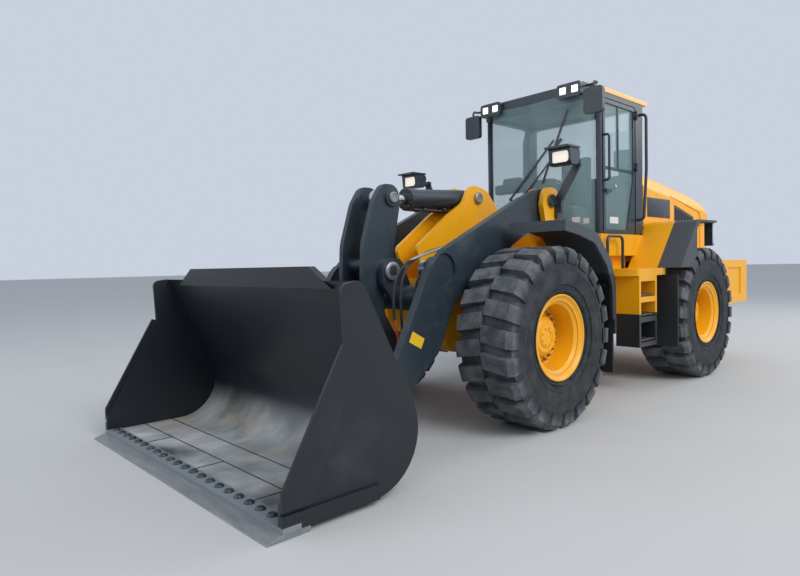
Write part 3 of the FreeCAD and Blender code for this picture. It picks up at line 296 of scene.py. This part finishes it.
def joined(parts, name, finish, body, angle=SMOOTH_ANGLE):
    """Several finished meshes made one piece, on a body."""
    bpy.ops.object.select_all(action="DESELECT")
    for part in parts:
        part.select_set(True)
    bpy.context.view_layer.objects.active = parts[0]
    if len(parts) > 1:
        bpy.ops.object.join()
    piece = bpy.context.object
    piece.name = name
    piece.data.name = name
    bpy.ops.object.transform_apply(location=True, rotation=True, scale=True)
    bpy.ops.object.shade_smooth_by_angle(angle=math.radians(angle))
    piece.data.materials.clear()
    piece.data.materials.append(finish.material)
    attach(piece, body)


def stood(piece, place, along):
    """Stands a mesh made on the Z axis at a place, along a direction."""
    turn = Vector(along).to_track_quat("Z", "Y").to_matrix().to_4x4()
    piece.data.transform(Matrix.Translation(Vector(place)) @ turn)
    return piece


rubber = Finish("tyre_rubber", Specular_IOR_Level=0.3)
lug_dust = rubber.between(rubber.noise(9.0, 5.0) + rubber.noise(60.0, 3.0) * 0.3, 0.42, 0.9)
AXLE_XS = (1.078, -2.222)
AXLE_HEIGHT = 0.8
WALL_RADIUS = 0.66
LUG_RADIUS = 0.75
run = [rubber.axis("X") - x for x in AXLE_XS]
rise = rubber.axis("Z") - AXLE_HEIGHT
square = rise * rise + rise.worked("MINIMUM", run[0] * run[0], run[1] * run[1])
tread = rubber.between(square, WALL_RADIUS * WALL_RADIUS, LUG_RADIUS * LUG_RADIUS)
wall = rubber.mixed(lug_dust, (0.014, 0.017, 0.021), (0.050, 0.054, 0.058))
lugs = rubber.mixed(lug_dust, (0.050, 0.057, 0.065), (0.150, 0.158, 0.166))
rubber.wear("Base Color", rubber.mixed(tread, wall, lugs))
rubber.wear("Roughness", 0.60 + lug_dust * 0.3)
rubber.wear("Normal", rubber.bumped(rubber.noise(140.0, 4.0), 0.25, 0.004))


def hub_of(wheel):
    """The middle of a wheel, and the direction that its outer face looks in."""
    low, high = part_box("tyre_" + wheel)
    middle = (low + high) / 2
    return middle, Vector((0, 1 if middle.y > 0 else -1, 0))


wheel_names = ("front_left", "front_right", "rear_left", "rear_right")
MOULDING_RINGS = ((0.412, 0.2745, 0.006), (0.470, 0.2872, 0.004), (0.600, 0.2958, 0.0035))
for wheel in wheel_names:
    dressed("tyre_" + wheel, "lugged_tyre_" + wheel, rubber, bevel=0.010, angle=28)
    middle, face = hub_of(wheel)
    rings = []
    for radius, y, thick in MOULDING_RINGS:
        bpy.ops.mesh.primitive_torus_add(
            major_radius=radius, minor_radius=thick, major_segments=96, minor_segments=8)
        rings.append(stood(bpy.context.object, middle + face * y, face))
    joined(rings, "moulding_rings_" + wheel, rubber, "wheel_" + wheel)

# Rims. Deep pressed steel wheels with a turned flange, sprayed the same orange-yellow as the body,
# held to the hub by a ring of steel nuts on studs, with the hub's bolted cover in the dish.
orange = Finish("orange_paint", Coat_Weight=0.12, Coat_Roughness=0.2)
grime = orange.between(orange.noise(3.0, 5.0), 0.52, 0.8)
low_grime = orange.between(orange.axis("Z"), 1.2, 0.4) * grime
rubbed = orange.edges() * orange.between(orange.noise(14.0, 4.0), 0.5, 0.7)
clean = orange.mixed(orange.noise(1.5, 2.0), (0.84, 0.385, 0.002), (0.90, 0.420, 0.004))
dirty = orange.mixed(low_grime * 0.4, clean, (0.36, 0.19, 0.06))
orange.wear("Base Color", orange.mixed(rubbed * 0.35, dirty, (0.28, 0.20, 0.12)))
orange.wear("Roughness", 0.38 + grime * 0.15)
orange.wear("Normal", orange.bumped(orange.noise(220.0, 2.0), 0.05, 0.002))

nut_steel = Finish("nut_steel", Metallic=0.8)
nut_steel.wear("Base Color", nut_steel.mixed(nut_steel.noise(40.0), (0.16, 0.15, 0.14), (0.30, 0.28, 0.26)))
nut_steel.wear("Roughness", 0.35 + nut_steel.noise(90.0) * 0.25)


def hexagon(place, along, across, height):
    """A bolt head or nut with its corners turned down, standing on a surface along its normal."""
    bpy.ops.mesh.primitive_cylinder_add(vertices=6, radius=across / 2 / math.cos(math.pi / 6), depth=height)
    head = bpy.context.object
    bpy.ops.object.mode_set(mode="EDIT")
    bpy.ops.mesh.select_all(action="SELECT")
    bpy.ops.mesh.bevel(offset=height * 0.12, segments=1)
    bpy.ops.object.mode_set(mode="OBJECT")
    direction = Vector(along).normalized()
    return stood(head, Vector(place) + direction * (height / 2 - 0.001), direction)


def turned(steps, place, along, sides=40):
    """A round piece made as on a lathe: from one (radius, height) step to the next along its axis."""
    bpy.ops.mesh.primitive_circle_add(vertices=sides, radius=steps[0][0], fill_type="NGON")
    piece = bpy.context.object
    bpy.ops.object.mode_set(mode="EDIT")
    bpy.ops.mesh.select_all(action="SELECT")
    bpy.ops.transform.translate(value=(0, 0, steps[0][1]))
    radius, height = steps[0]
    for next_radius, next_height in steps[1:]:
        bpy.ops.mesh.extrude_region_move(TRANSFORM_OT_translate={"value": (0, 0, next_height - height)})
        ratio = next_radius / radius
        bpy.ops.transform.resize(value=(ratio, ratio, 1), center_override=(0, 0, next_height))
        radius, height = next_radius, next_height
    bpy.ops.object.mode_set(mode="OBJECT")
    return stood(piece, place, along)


def spots_round(centre, radius, count, first=0.0):
    """Places evenly spaced on an upright circle that faces the machine's side."""
    turns = [2 * math.pi * (i + first) / count for i in range(count)]
    return [centre + Vector((radius * math.cos(turn), 0, radius * math.sin(turn))) for turn in turns]


NUTS = 20
NUT_CIRCLE = 0.228
COVER_BOLTS = 8
COVER_CIRCLE = 0.078
COVER_STEPS = [(0.100, 0.0), (0.100, 0.006), (0.094, 0.010), (0.060, 0.010), (0.056, 0.004), (0.030, 0.004)]
for wheel in wheel_names:
    dressed("rim_" + wheel, "steel_rim_" + wheel, orange, bevel=0.003)
    middle, face = hub_of(wheel)
    nuts = []
    for spot in spots_round(middle + face * 0.030, NUT_CIRCLE, NUTS):
        nuts.append(hexagon(spot, face, 0.030, 0.022))
        nuts.append(turned([(0.009, 0.0), (0.009, 0.034), (0.006, 0.037)], spot, face, 12))
    joined(nuts, "wheel_nuts_" + wheel, nut_steel, "wheel_" + wheel)
    cover = [turned(COVER_STEPS, middle + face * 0.110, face)]
    for spot in spots_round(middle + face * 0.120, COVER_CIRCLE, COVER_BOLTS, 0.5):
        cover.append(hexagon(spot, face, 0.018, 0.010))
    joined(cover, "hub_cover_" + wheel, orange, "wheel_" + wheel)

# Axles. Cast iron beams with a round housing in the middle and a drum at each wheel, fixed under
# the frames. They are painted with the frames, and road film dulls the paint low down.
for end in ("front", "rear"):
    dressed(end + "_axle", end + "_axle_casting", orange, bevel=0.006)

# Frames. Welded plate, orange-yellow, with the pivot between them, and black bolted caps over the
# ends of the pins that carry the arms.
black = Finish("black_satin_paint", Coat_Weight=0.10, Coat_Roughness=0.3)
scuff = black.between(black.noise(2.2, 6.0), 0.5, 0.75)
bare = black.edges() * black.between(black.noise(11.0, 4.0), 0.52, 0.68)
satin = black.mixed(scuff, (0.020, 0.031, 0.043), (0.034, 0.047, 0.060))
settled = black.between(black.facing_up(), 0.35, 0.9) * black.between(black.noise(7.0, 5.0), 0.42, 0.7)
dusted = black.mixed(settled * 0.45, satin, (0.16, 0.165, 0.17))
black.wear("Base Color", black.mixed(bare * 0.4, dusted, (0.12, 0.12, 0.12)))
black.wear("Roughness", 0.36 + scuff * 0.14 + settled * 0.3)
black.wear("Normal", black.bumped(black.noise(180.0, 3.0), 0.06, 0.002))
for node in ("rear_frame", "front_frame"):
    dressed(node, node + "_plates", orange)
CAP_BOLTS = 4
CAP_CIRCLE = 0.045
CAP_THICK = 0.013
ARM_PIN_X, ARM_PIN_Z = 0.368, 2.080
TOWER_FACE = 0.789
caps = []
for side in (1, -1):
    centre = Vector((ARM_PIN_X, side * TOWER_FACE, ARM_PIN_Z))
    face = Vector((0, side, 0))
    caps.append(turned([(0.066, 0.0), (0.066, 0.008), (0.061, CAP_THICK)], centre, face))
    for spot in spots_round(centre + face * CAP_THICK, CAP_CIRCLE, CAP_BOLTS, 0.5):
        caps.append(hexagon(spot, face, 0.019, 0.010))
joined(caps, "tower_pin_caps", black, "front")

# Lift arms, bell crank and link. Thick flame-cut plate and castings in satin black, scuffed where
# tools and stones have brushed them. Steel pins with turned ends join them, the hoses end in
# hexagon fittings, and a blank yellow plate is stuck low on each arm.
for node in ("lift_arms", "bell_crank", "bucket_link"):
    dressed(node, node + "_steel", black)
dull = Finish("pin_steel", Metallic=0.7)
turning = dull.noise(30.0, 4.0)
dull.wear("Base Color", dull.mixed(turning, (0.20, 0.21, 0.22), (0.42, 0.42, 0.43)))
dull.wear("Roughness", 0.34 + turning * 0.2)
for name, body, x, y, z, radius in (
        ("crank_pin_ends", "arms", 2.088, 0.258, 1.410, 0.082),
        ("crank_top_rings", "crank", 1.998, 0.194, 2.070, 0.050),
        ("tilt_base_rings", "front", 0.768, 0.160, 2.140, 0.058)):
    ends = []
    for side in (1, -1):
        ends.append(turned([(radius, 0.0), (radius, 0.020), (radius * 0.86, 0.027), (radius * 0.62, 0.027),
                            (radius * 0.56, 0.020), (radius * 0.2, 0.020)], (x, side * y, z), (0, side, 0)))
    joined(ends, name, dull, body)


def block(size, place, edge=0.004, segments=3):
    """A rounded block: its edges are bevelled all round, as on a moulding or a folded plate."""
    bpy.ops.mesh.primitive_cube_add(size=1.0)
    piece = bpy.context.object
    bpy.ops.object.mode_set(mode="EDIT")
    bpy.ops.mesh.select_all(action="SELECT")
    bpy.ops.transform.resize(value=size)
    bpy.ops.mesh.bevel(offset=edge, segments=segments)
    bpy.ops.transform.translate(value=place)
    bpy.ops.object.mode_set(mode="OBJECT")
    return piece


ARM_FACE = 0.622
INWARD = (0, -1, 0)
fittings = []
for name, width, finish, route in hose_routes:
    for x, y, z in (route[0], route[-1]):
        fittings.append(turned([(width * 0.72, 0.0), (width * 0.72, 0.012), (width * 0.62, 0.020)],
                               (x, ARM_FACE, z), INWARD, 24))
        fittings.append(hexagon((x, ARM_FACE - 0.019, z), INWARD, width * 1.25, 0.012))
joined(fittings, "hose_fittings", nut_steel, "arms")

yellow = Finish("yellow_label")
yellow.wear("Base Color", yellow.mixed(yellow.noise(12.0), (0.80, 0.52, 0.01), (0.70, 0.44, 0.01)))
yellow.wear("Roughness", 0.45 + yellow.noise(30.0) * 0.1)
LABEL_TURN = -27.5
lean = Matrix.Rotation(math.radians(LABEL_TURN), 4, "Y")
plates = []
for side in (1, -1):
    plate = block((0.153, 0.0014, 0.092), (0, 0, 0), 0.0005, 1)
    plate.data.transform(Matrix.Translation((2.228, side * 0.7005, 0.844)) @ lean)
    plates.append(plate)
joined(plates, "arm_labels", yellow, "arms")

# Bucket. Rolled and welded plate, black outside; inside the floor is scoured to grey and carries
# a film of tan dust. Weld beads cross the floor. The bolt-on edge is bare worn steel, held by a
# row of dome-headed bolts.
bucket_paint = Finish("bucket_paint", Coat_Weight=0.05)
height = bucket_paint.axis("Z")
reach = bucket_paint.axis("X")
sideways = bucket_paint.axis("Y")
off_middle = sideways.worked("ABSOLUTE", sideways, 0.0)
inside = bucket_paint.between(height, 0.60, 0.30) * bucket_paint.between(off_middle, 1.400, 1.394)
floor_up = bucket_paint.between(bucket_paint.facing_up(), 0.10, 0.97) * inside
scour = floor_up * bucket_paint.between(bucket_paint.noise(1.2, 5.0, 0.5), 0.20, 0.58)
heap = bucket_paint.between(reach, 3.72, 3.40) * bucket_paint.between(reach, 2.90, 3.15)
dust = floor_up * heap * bucket_paint.between(bucket_paint.noise(2.2, 7.0, 0.65), 0.44, 0.66)
lip = bucket_paint.between(reach, 3.868, 3.876) * bucket_paint.between(height, 0.070, 0.064)
streaks = bucket_paint.noise(5.0, 5.0, 0.6, stretch=(0.35, 1.6, 0.35))
worn = bucket_paint.between(streaks, 0.5, 0.8) * bucket_paint.between(height, 0.9, 0.1)
painted = bucket_paint.mixed(worn * 0.55, (0.008, 0.012, 0.017), (0.060, 0.066, 0.072))
drag = bucket_paint.noise(2.4, 6.0, 0.6, stretch=(0.8, 1.2, 1.0)) * 0.8 + streaks * 0.2
bright = bucket_paint.mixed(bucket_paint.between(drag, 0.38, 0.66), (0.36, 0.385, 0.40), (0.60, 0.60, 0.575))
scoured = bucket_paint.mixed(lip, bucket_paint.mixed(scour, painted, bright), (0.20, 0.225, 0.245))
bucket_paint.wear("Base Color", bucket_paint.mixed(dust * 0.75, scoured, (0.50, 0.42, 0.30)))
bucket_paint.wear("Roughness", 0.40 + scour * 0.25 + dust * 0.2)
bucket_paint.wear("Normal", bucket_paint.bumped(bucket_paint.noise(60.0, 5.0), 0.10, 0.004))
dressed("bucket", "bucket_shell", bucket_paint, bevel=0.003)

steel = Finish("worn_steel", Metallic=0.45)
streak = steel.noise(26.0, 4.0, stretch=(1.0, 0.12, 1.0))
steel.wear("Base Color", steel.mixed(streak, (0.13, 0.15, 0.165), (0.34, 0.35, 0.35)))
steel.wear("Roughness", 0.42 + streak * 0.2)
steel.wear("Normal", steel.bumped(steel.noise(90.0, 5.0), 0.2, 0.003))
dressed("cutting_edge", "bolt_on_edge", steel, bevel=0.002)
EDGE_BOLTS = 22
BOLT_PITCH = 0.130
heads = []
for i in range(EDGE_BOLTS):
    spot = (3.925, (i - (EDGE_BOLTS - 1) / 2) * BOLT_PITCH, 0.059)
    heads.append(turned([(0.033, 0.0), (0.032, 0.007), (0.024, 0.016), (0.014, 0.019)], spot, (0, 0, 1), 20))
joined(heads, "edge_bolts", black, "bucket_body")

BEAD_HEIGHT = 0.0605
beads = [block((0.010, 2.77, 0.006), (x, 0, BEAD_HEIGHT), 0.002, 2) for x in (3.42, 3.67)]
beads += [block((0.25, 0.010, 0.006), (3.795, y, BEAD_HEIGHT), 0.002, 2) for y in (-0.78, 0.14, 0.96)]
joined(beads, "floor_weld_beads", black, "bucket_body")

# Cylinders. Black steel barrels and hard-chromed rods, with eyes at both ends. The tilt cylinder
# has a heavy bolted gland, and steel pipes run back under it from the gland to its base.
for node in ("lift_barrels", "tilt_barrel", "steer_barrel_left", "steer_barrel_right"):
    dressed(node, node + "_steel", black, bevel=0.003)
chrome = Finish("chrome_rod", Metallic=1.0)
chrome.wear("Base Color", chrome.mixed(chrome.noise(20.0), (0.55, 0.55, 0.56), (0.72, 0.72, 0.73)))
chrome.wear("Roughness", 0.12 + chrome.noise(80.0) * 0.12)
for node in ("lift_rods", "tilt_rod", "steer_rod_left", "steer_rod_right"):
    dressed(node, node + "_chromed", chrome, bevel=0.002)


def bar(start, end, width, thick, edge=0.002):
    """A straight rounded bar from one point to another, its width seen from the side."""
    start, end = Vector(start), Vector(end)
    piece = block((thick, width, (end - start).length), (0, 0, 0), edge, 2)
    return stood(piece, (start + end) / 2, end - start)


GLAND_BOLTS = 14
GLAND_CIRCLE = 0.088
GLAND_AT = 0.862
GLAND_THICK = 0.034
PIPE_SIDE = 0.045
PIPE_HEIGHT = 1.994
base, eye = Vector((0.768, 0, 2.14)), Vector((1.998, 0, 2.07))
line = (eye - base).normalized()
gland = [turned([(0.110, 0.0), (0.110, 0.028), (0.104, GLAND_THICK)], base + line * GLAND_AT, line, 56)]
bolt_face = base + line * (GLAND_AT + GLAND_THICK)
for i in range(GLAND_BOLTS):
    turn = 2 * math.pi * i / GLAND_BOLTS
    around = Vector((0, math.cos(turn), math.sin(turn)))
    gland.append(hexagon(bolt_face + around * GLAND_CIRCLE, line, 0.021, 0.014))
for side in (1, -1):
    y = side * PIPE_SIDE
    gland.append(block((0.60, 0.020, 0.020), (1.30, y, PIPE_HEIGHT), 0.008))
    for pipe_x, end_x, end_z in ((1.60, 1.648, 2.018), (1.00, 0.93, 2.040)):
        gland.append(bar((pipe_x, y, PIPE_HEIGHT), (end_x, side * 0.040, end_z), 0.022, 0.022, 0.008))
for x, z in ((1.18, 2.008), (1.46, 1.996)):
    gland.append(block((0.035, 0.150, 0.030), (x, 0, z), 0.006))
joined(gland, "tilt_gland_and_pipes", black, "tilt_cylinder")

# Fenders. Moulded grey plastic with a fine grain and a folded rim, fixed over the wheels. Low down,
# and on the flaps that hang behind the wheels, it is near black.
plastic = Finish("grey_plastic")
grain = plastic.noise(300.0, 2.0)
DARK_TOP = 1.36
shade = plastic.between(plastic.axis("Z"), DARK_TOP, DARK_TOP - 0.04)
upper = plastic.mixed(plastic.noise(4.0), (0.046, 0.056, 0.067), (0.062, 0.073, 0.086))
plastic.wear("Base Color", plastic.mixed(shade, upper, (0.014, 0.017, 0.020)))
plastic.wear("Roughness", 0.55 + grain * 0.1)
plastic.wear("Normal", plastic.bumped(grain, 0.15, 0.001))
for node in ("front_fenders", "rear_fenders"):
    dressed(node, node + "_moulded", plastic, bevel=0.006)

# Steps and platforms. Folded plate, body colour above and black on the lower boxes, with treads of
# crossed galvanised bars welded into the step openings.
step_paint = Finish("step_paint", Coat_Weight=0.15, Coat_Roughness=0.2)
BLACK_TOP = 0.878
lower = step_paint.between(step_paint.axis("Z"), BLACK_TOP, BLACK_TOP - 0.010)
dusty = step_paint.between(step_paint.noise(3.0, 5.0), 0.5, 0.8)
step_paint.wear("Base Color", step_paint.mixed(lower, step_paint.mixed(
    dusty * 0.3, (0.84, 0.385, 0.002), (0.42, 0.22, 0.05)), (0.018, 0.022, 0.028)))
step_paint.wear("Roughness", 0.36 + dusty * 0.2)
step_paint.wear("Normal", step_paint.bumped(step_paint.noise(200.0, 2.0), 0.06, 0.002))
dressed("platforms", "step_platforms", step_paint, bevel=0.004)
TREAD_LEVELS = (0.566, 0.846, 1.066)
LONG_BARS = 5
CROSS_BARS = 9
TREAD_BACK, TREAD_FRONT = -1.048, -0.708
TREAD_INNER, TREAD_OUTER = 0.975, 1.188
for side, name in ((1, "left"), (-1, "right")):
    treads = []
    for level in TREAD_LEVELS:
        for i in range(LONG_BARS):
            y, z = side * (0.985 + 0.048 * i), level + 0.012
            treads.append(bar((TREAD_BACK, y, z), (TREAD_FRONT, y, z), 0.006, 0.030, 0.001))
        for i in range(CROSS_BARS):
            x, z = -1.030 + 0.038 * i, level + 0.016
            treads.append(bar((x, side * TREAD_INNER, z), (x, side * TREAD_OUTER, z), 0.010, 0.014, 0.001))
    joined(treads, "step_treads_" + name, nut_steel, "rear")

# Counterweight, hood and roof. A heavy casting bolted to the rear frame, and smooth moulded panels,
# all sprayed body colour, the roof a shade paler. The grilles and the exhaust are grey and black,
# and a blank black plaque is riveted to each side of the hood.
dressed("counterweight", "counterweight_casting", orange, bevel=0.008)
dressed("hood", "hood_panels", orange, bevel=0.006)
dressed("hood_grilles", "hood_grille_slats", plastic, bevel=0.002)
dressed("exhaust", "exhaust_stack", black, bevel=0.003)
dressed("radiator", "radiator_grille", black, bevel=0.002)
roof_paint = Finish("roof_paint", Coat_Weight=0.1, Coat_Roughness=0.15)
chalk = roof_paint.between(roof_paint.noise(2.0, 4.0), 0.4, 0.7)
roof_paint.wear("Base Color", roof_paint.mixed(chalk, (0.80, 0.40, 0.05), (0.84, 0.44, 0.08)))
roof_paint.wear("Roughness", 0.35 + chalk * 0.12)
roof_paint.wear("Normal", roof_paint.bumped(roof_paint.noise(240.0, 2.0), 0.05, 0.002))
dressed("cab_roof", "cab_roof_moulding", roof_paint, bevel=0.010)
HOOD_HALF = 0.760
for side, name in ((1, "left"), (-1, "right")):
    plaque = [block((0.664, 0.006, 0.245), (-2.148, side * (HOOD_HALF + 0.002), 2.132), 0.002)]
    for x in (-2.46, -1.836):
        for z in (2.03, 2.235):
            plaque.append(turned([(0.008, 0.0), (0.008, 0.002), (0.004, 0.004)],
                                 (x, side * (HOOD_HALF + 0.004), z), (0, side, 0), 16))
    joined(plaque, "hood_plaque_" + name, black, "hood_body")

# Cab. A shell welded of black steel, with a hung door and its lock, a plug in the sill's corner,
# and handrails of bent tube.
dressed("cab_frame", "cab_shell", black, bevel=0.004)
dressed("door_frame", "door_shell", black, bevel=0.003)
dressed("handrails", "handrail_tubes", black, bevel=0.002)
LOCK_STEPS = [(0.016, 0.0), (0.016, 0.004), (0.012, 0.006), (0.009, 0.003)]
joined([turned(LOCK_STEPS, (-0.938, 0.794, 2.325), (0, 1, 0), 24)], "door_lock", chrome, "door")
PLUG_STEPS = [(0.034, 0.0), (0.034, 0.004), (0.028, 0.007)]
joined([turned(PLUG_STEPS, (-1.57, 0.799, 1.80), (0, 1, 0), 32)], "sill_plug", black, "rear")

# Glass. Tinted panes with a touch of blue-green in them, set in the cab's openings, the front one
# bowed round at its corners. A few blank stickers are low down on them.
glass = Finish("clear_glass", Roughness=0.02, IOR=1.45)
glass.wear("Base Color", glass.mixed(glass.noise(1.0), (0.34, 0.54, 0.57), (0.38, 0.58, 0.60)))
glass.wear("Alpha", 0.19 + glass.noise(2.0) * 0.05)
for node in ("windscreen", "cab_glass", "door_glass"):
    frame["nodes"][node].data.materials.clear()
    frame["nodes"][node].data.materials.append(glass.material)
label = Finish("blank_label")
label.wear("Base Color", label.mixed(label.noise(8.0), (0.70, 0.70, 0.68), (0.60, 0.60, 0.58)))
label.wear("Roughness", 0.45 + label.noise(30.0) * 0.1)
screen_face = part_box("windscreen")[1].x
stickers = [block((0.0012, 0.10, 0.06), (screen_face + 0.0004, 0.59, 1.93), 0.0004, 1),
            block((0.0012, 0.07, 0.06), (screen_face + 0.0004, 0.715, 1.91), 0.0004, 1)]
joined(stickers, "screen_labels", label, "rear")
door_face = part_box("door_glass")[1].y
joined([block((0.20, 0.0012, 0.075), (-0.925, door_face + 0.0004, 1.930), 0.0004, 1)],
       "door_label", label, "door")

# Wiper. Two parallel sprung arms of black steel, on spindles at the foot of the screen, carry one
# long rubber blade in its holder.
front = screen_face + 0.012
SPINDLES = ((-0.30, 2.24), (-0.06, 2.30))
SPINDLE_STEPS = [(0.020, 0.0), (0.020, 0.016), (0.014, 0.022), (0.008, 0.026)]
BLADE_FOOT, BLADE_TOP = (0.16, 2.38), (0.50, 3.175)
wiper = [bar((front, *SPINDLES[0]), (front, 0.32, 2.86), 0.026, 0.010),
         bar((front, *SPINDLES[1]), (front, 0.40, 2.76), 0.018, 0.010),
         bar((front, 0.30, 2.74), (front, 0.42, 2.86), 0.034, 0.012),
         bar((front - 0.002, *BLADE_FOOT), (front - 0.002, *BLADE_TOP), 0.024, 0.010),
         bar((front - 0.006, *BLADE_FOOT), (front - 0.006, *BLADE_TOP), 0.004, 0.010, 0.001)]
for y, z in SPINDLES:
    wiper.append(turned(SPINDLE_STEPS, (front - 0.014, y, z), (1, 0, 0), 24))
joined(wiper, "screen_wiper", black, "rear")

# Lamps. Black housings with moulded lenses: warm headlamps on the front frame's brackets, square
# work lamps in the roof pods, red and amber lenses at the back of the tail boxes and a clear one
# on their sides.
for node in ("headlamps", "work_lamps"):
    dressed(node, node + "_housings", black, bevel=0.003)


def lens_finish(name, dark, pale, glow, strength):
    """Moulded lens plastic: fine upright flutes, lit from behind where strength is over 0."""
    finish = Finish(name, Roughness=0.12, Coat_Weight=0.6, Emission_Strength=strength)
    flutes = finish.node("TexWave", {"bands_direction": "Y"}, {"Vector": finish.place, "Scale": 45.0})
    finish.wear("Base Color", finish.mixed(flutes, dark, pale))
    finish.wear("Emission Color", finish.mixed(flutes, glow, pale))
    finish.wear("Normal", finish.bumped(flutes, 0.3, 0.002))
    return finish


warm = lens_finish("headlamp_lens", (0.60, 0.54, 0.44), (0.92, 0.88, 0.80), (1.0, 0.84, 0.62), 0.55)
lit = lens_finish("work_lamp_lens", (0.60, 0.60, 0.60), (0.92, 0.92, 0.90), (1.0, 0.97, 0.90), 1.1)
red = lens_finish("tail_lens", (0.30, 0.008, 0.006), (0.50, 0.02, 0.012), (0.4, 0.0, 0.0), 0.0)
amber = lens_finish("turn_lens", (0.55, 0.16, 0.01), (0.75, 0.26, 0.02), (0.5, 0.2, 0.0), 0.0)
lenses = [block((0.014, 0.180, 0.108), (0.586, side * 1.03, 2.4615), 0.006, 4) for side in (1, -1)]
joined(lenses, "headlamp_lenses", warm, "front")
ROOF_LAMP_YS = (-0.625, -0.475, 0.475, 0.625)
lenses = [block((0.012, 0.078, 0.078), (-0.3545, y, 3.370), 0.005, 4) for y in ROOF_LAMP_YS]
joined(lenses, "roof_lamp_lenses", lit, "rear")
for name, finish, z, tall in (("tail_lenses", red, 1.700, 0.130), ("turn_lenses", amber, 1.840, 0.110)):
    lenses = [block((0.010, 0.075, tall), (-2.392, side * 1.2975, z), 0.004, 3) for side in (1, -1)]
    joined(lenses, name, finish, "rear")

clear = lens_finish("side_lens", (0.35, 0.42, 0.46), (0.55, 0.62, 0.66), (0.0, 0.0, 0.0), 0.0)
joined([block((0.036, 0.006, 0.24), (-2.365, side * 1.3465, 1.775), 0.002, 2) for side in (1, -1)],
       "side_lenses", clear, "rear")

# Mirrors. Moulded black heads on arms of bent tube, fixed beside the roof. The silvered glass
# faces back towards the driver.
dressed("mirrors", "mirror_heads", black, bevel=0.004)
silver = Finish("mirror_glass", Metallic=1.0, Roughness=0.03)
silver.wear("Base Color", silver.mixed(silver.noise(3.0), (0.80, 0.82, 0.84), (0.86, 0.88, 0.90)))
joined([block((0.006, 0.195, 0.250), (-0.408, side * 0.8425, 3.20), 0.002, 2) for side in (1, -1)],
       "mirror_panes", silver, "rear")

# Driver's place. The console with its steering wheel, the dash and the cab's lining are dark moulded
# plastic. The seat is two padded cushions of dark woven cloth, fixed on a boxed pedestal.
dressed("console", "console_moulding", plastic, bevel=0.006)
joined([block((0.13, 0.86, 0.12), (-0.545, -0.18, 2.385), 0.035, 5),
        block((0.10, 0.26, 0.10), (-0.545, -0.36, 2.465), 0.030, 5)],
       "dash_cowl", plastic, "rear")
joined([block((0.012, 1.40, 0.76), (-1.574, 0, 2.150), 0.005),
        block((0.012, 1.30, 0.10), (-1.566, 0, 2.47), 0.005),
        block((0.90, 1.40, 0.012), (-1.080, 0, 3.340), 0.005),
        block((0.50, 0.60, 0.030), (-1.050, 0, 3.325), 0.012)],
       "cab_lining", plastic, "rear")
PEDESTAL_TOP = 2.022
pedestal = dressed("seat", "seat_pedestal", plastic, bevel=0.008)
alone(pedestal)
bpy.ops.object.mode_set(mode="EDIT")
bpy.ops.mesh.select_all(action="SELECT")
bpy.ops.mesh.bisect(plane_co=(0, 0, PEDESTAL_TOP), plane_no=(0, 0, 1), use_fill=True, clear_outer=True)
bpy.ops.object.mode_set(mode="OBJECT")

cloth = Finish("seat_cloth", Roughness=0.92, Sheen_Weight=0.4, Sheen_Roughness=0.5)
threads = {"Vector": cloth.place, "Scale": 130.0, "Distortion": 1.0}
warp = cloth.node("TexWave", {"bands_direction": "Y"}, threads)
weft = cloth.node("TexWave", {"bands_direction": "Z"}, threads)
weave = warp * 0.5 + weft * 0.5
cloth.wear("Base Color", cloth.mixed(
    weave * 0.6 + cloth.noise(6.0) * 0.4, (0.012, 0.013, 0.016), (0.050, 0.052, 0.058)))
cloth.wear("Normal", cloth.bumped(weave, 0.35, 0.001))

MOST_SWELL = 0.016
CLOTH_STEPS = 20


def cushion(name, size, place):
    """A sewn pad: a rounded block blown up from inside, its sides pulled in between the corners."""
    pad = block(size, (0, 0, 0), 0.030, 4)
    pad.name = name
    pad.location = place
    alone(pad)
    bpy.ops.object.transform_apply(location=True, rotation=True, scale=True)
    remesh = pad.modifiers.new("even", "REMESH")
    remesh.mode = "VOXEL"
    remesh.voxel_size = 0.008
    bpy.ops.object.modifier_apply(modifier="even")
    still = [v.co.copy() for v in pad.data.vertices]
    blown = pad.modifiers.new("blown", "CLOTH")
    blown.settings.use_pressure = True
    blown.settings.uniform_pressure_force = 4.0
    blown.settings.effector_weights.gravity = 0.0
    blown.point_cache.frame_start = 1
    blown.point_cache.frame_end = CLOTH_STEPS
    for step in range(1, CLOTH_STEPS + 1):
        bpy.context.scene.frame_set(step)
    alone(pad)
    bpy.ops.object.modifier_apply(modifier="blown")
    bpy.context.scene.frame_set(1)
    for vertex, before in zip(pad.data.vertices, still):
        move = vertex.co - before
        if move.length > MOST_SWELL:
            vertex.co = before + move.normalized() * MOST_SWELL
    rounder = pad.modifiers.new("rounder", "SMOOTH")
    rounder.iterations = 6
    bpy.ops.object.modifier_apply(modifier="rounder")
    joined([pad], name, cloth, "rear", angle=80)


cushion("seat_cushion", (0.40, 0.46, 0.110), (-1.145, 0, 2.085))
cushion("seat_back_cushion", (0.115, 0.42, 0.64), (-1.425, 0, 2.490))

# Engine. One plain block of dark painted iron, which stands for the engine's mass, fixed to the
# rear frame and hidden under the hood.
iron = Finish("engine_iron", Roughness=0.6)
iron.wear("Base Color", iron.mixed(iron.noise(12.0), (0.05, 0.05, 0.05), (0.10, 0.10, 0.10)))
iron.wear("Normal", iron.bumped(iron.noise(50.0, 4.0), 0.3, 0.004))
dressed("engine", "engine_block", iron, bevel=0.01)
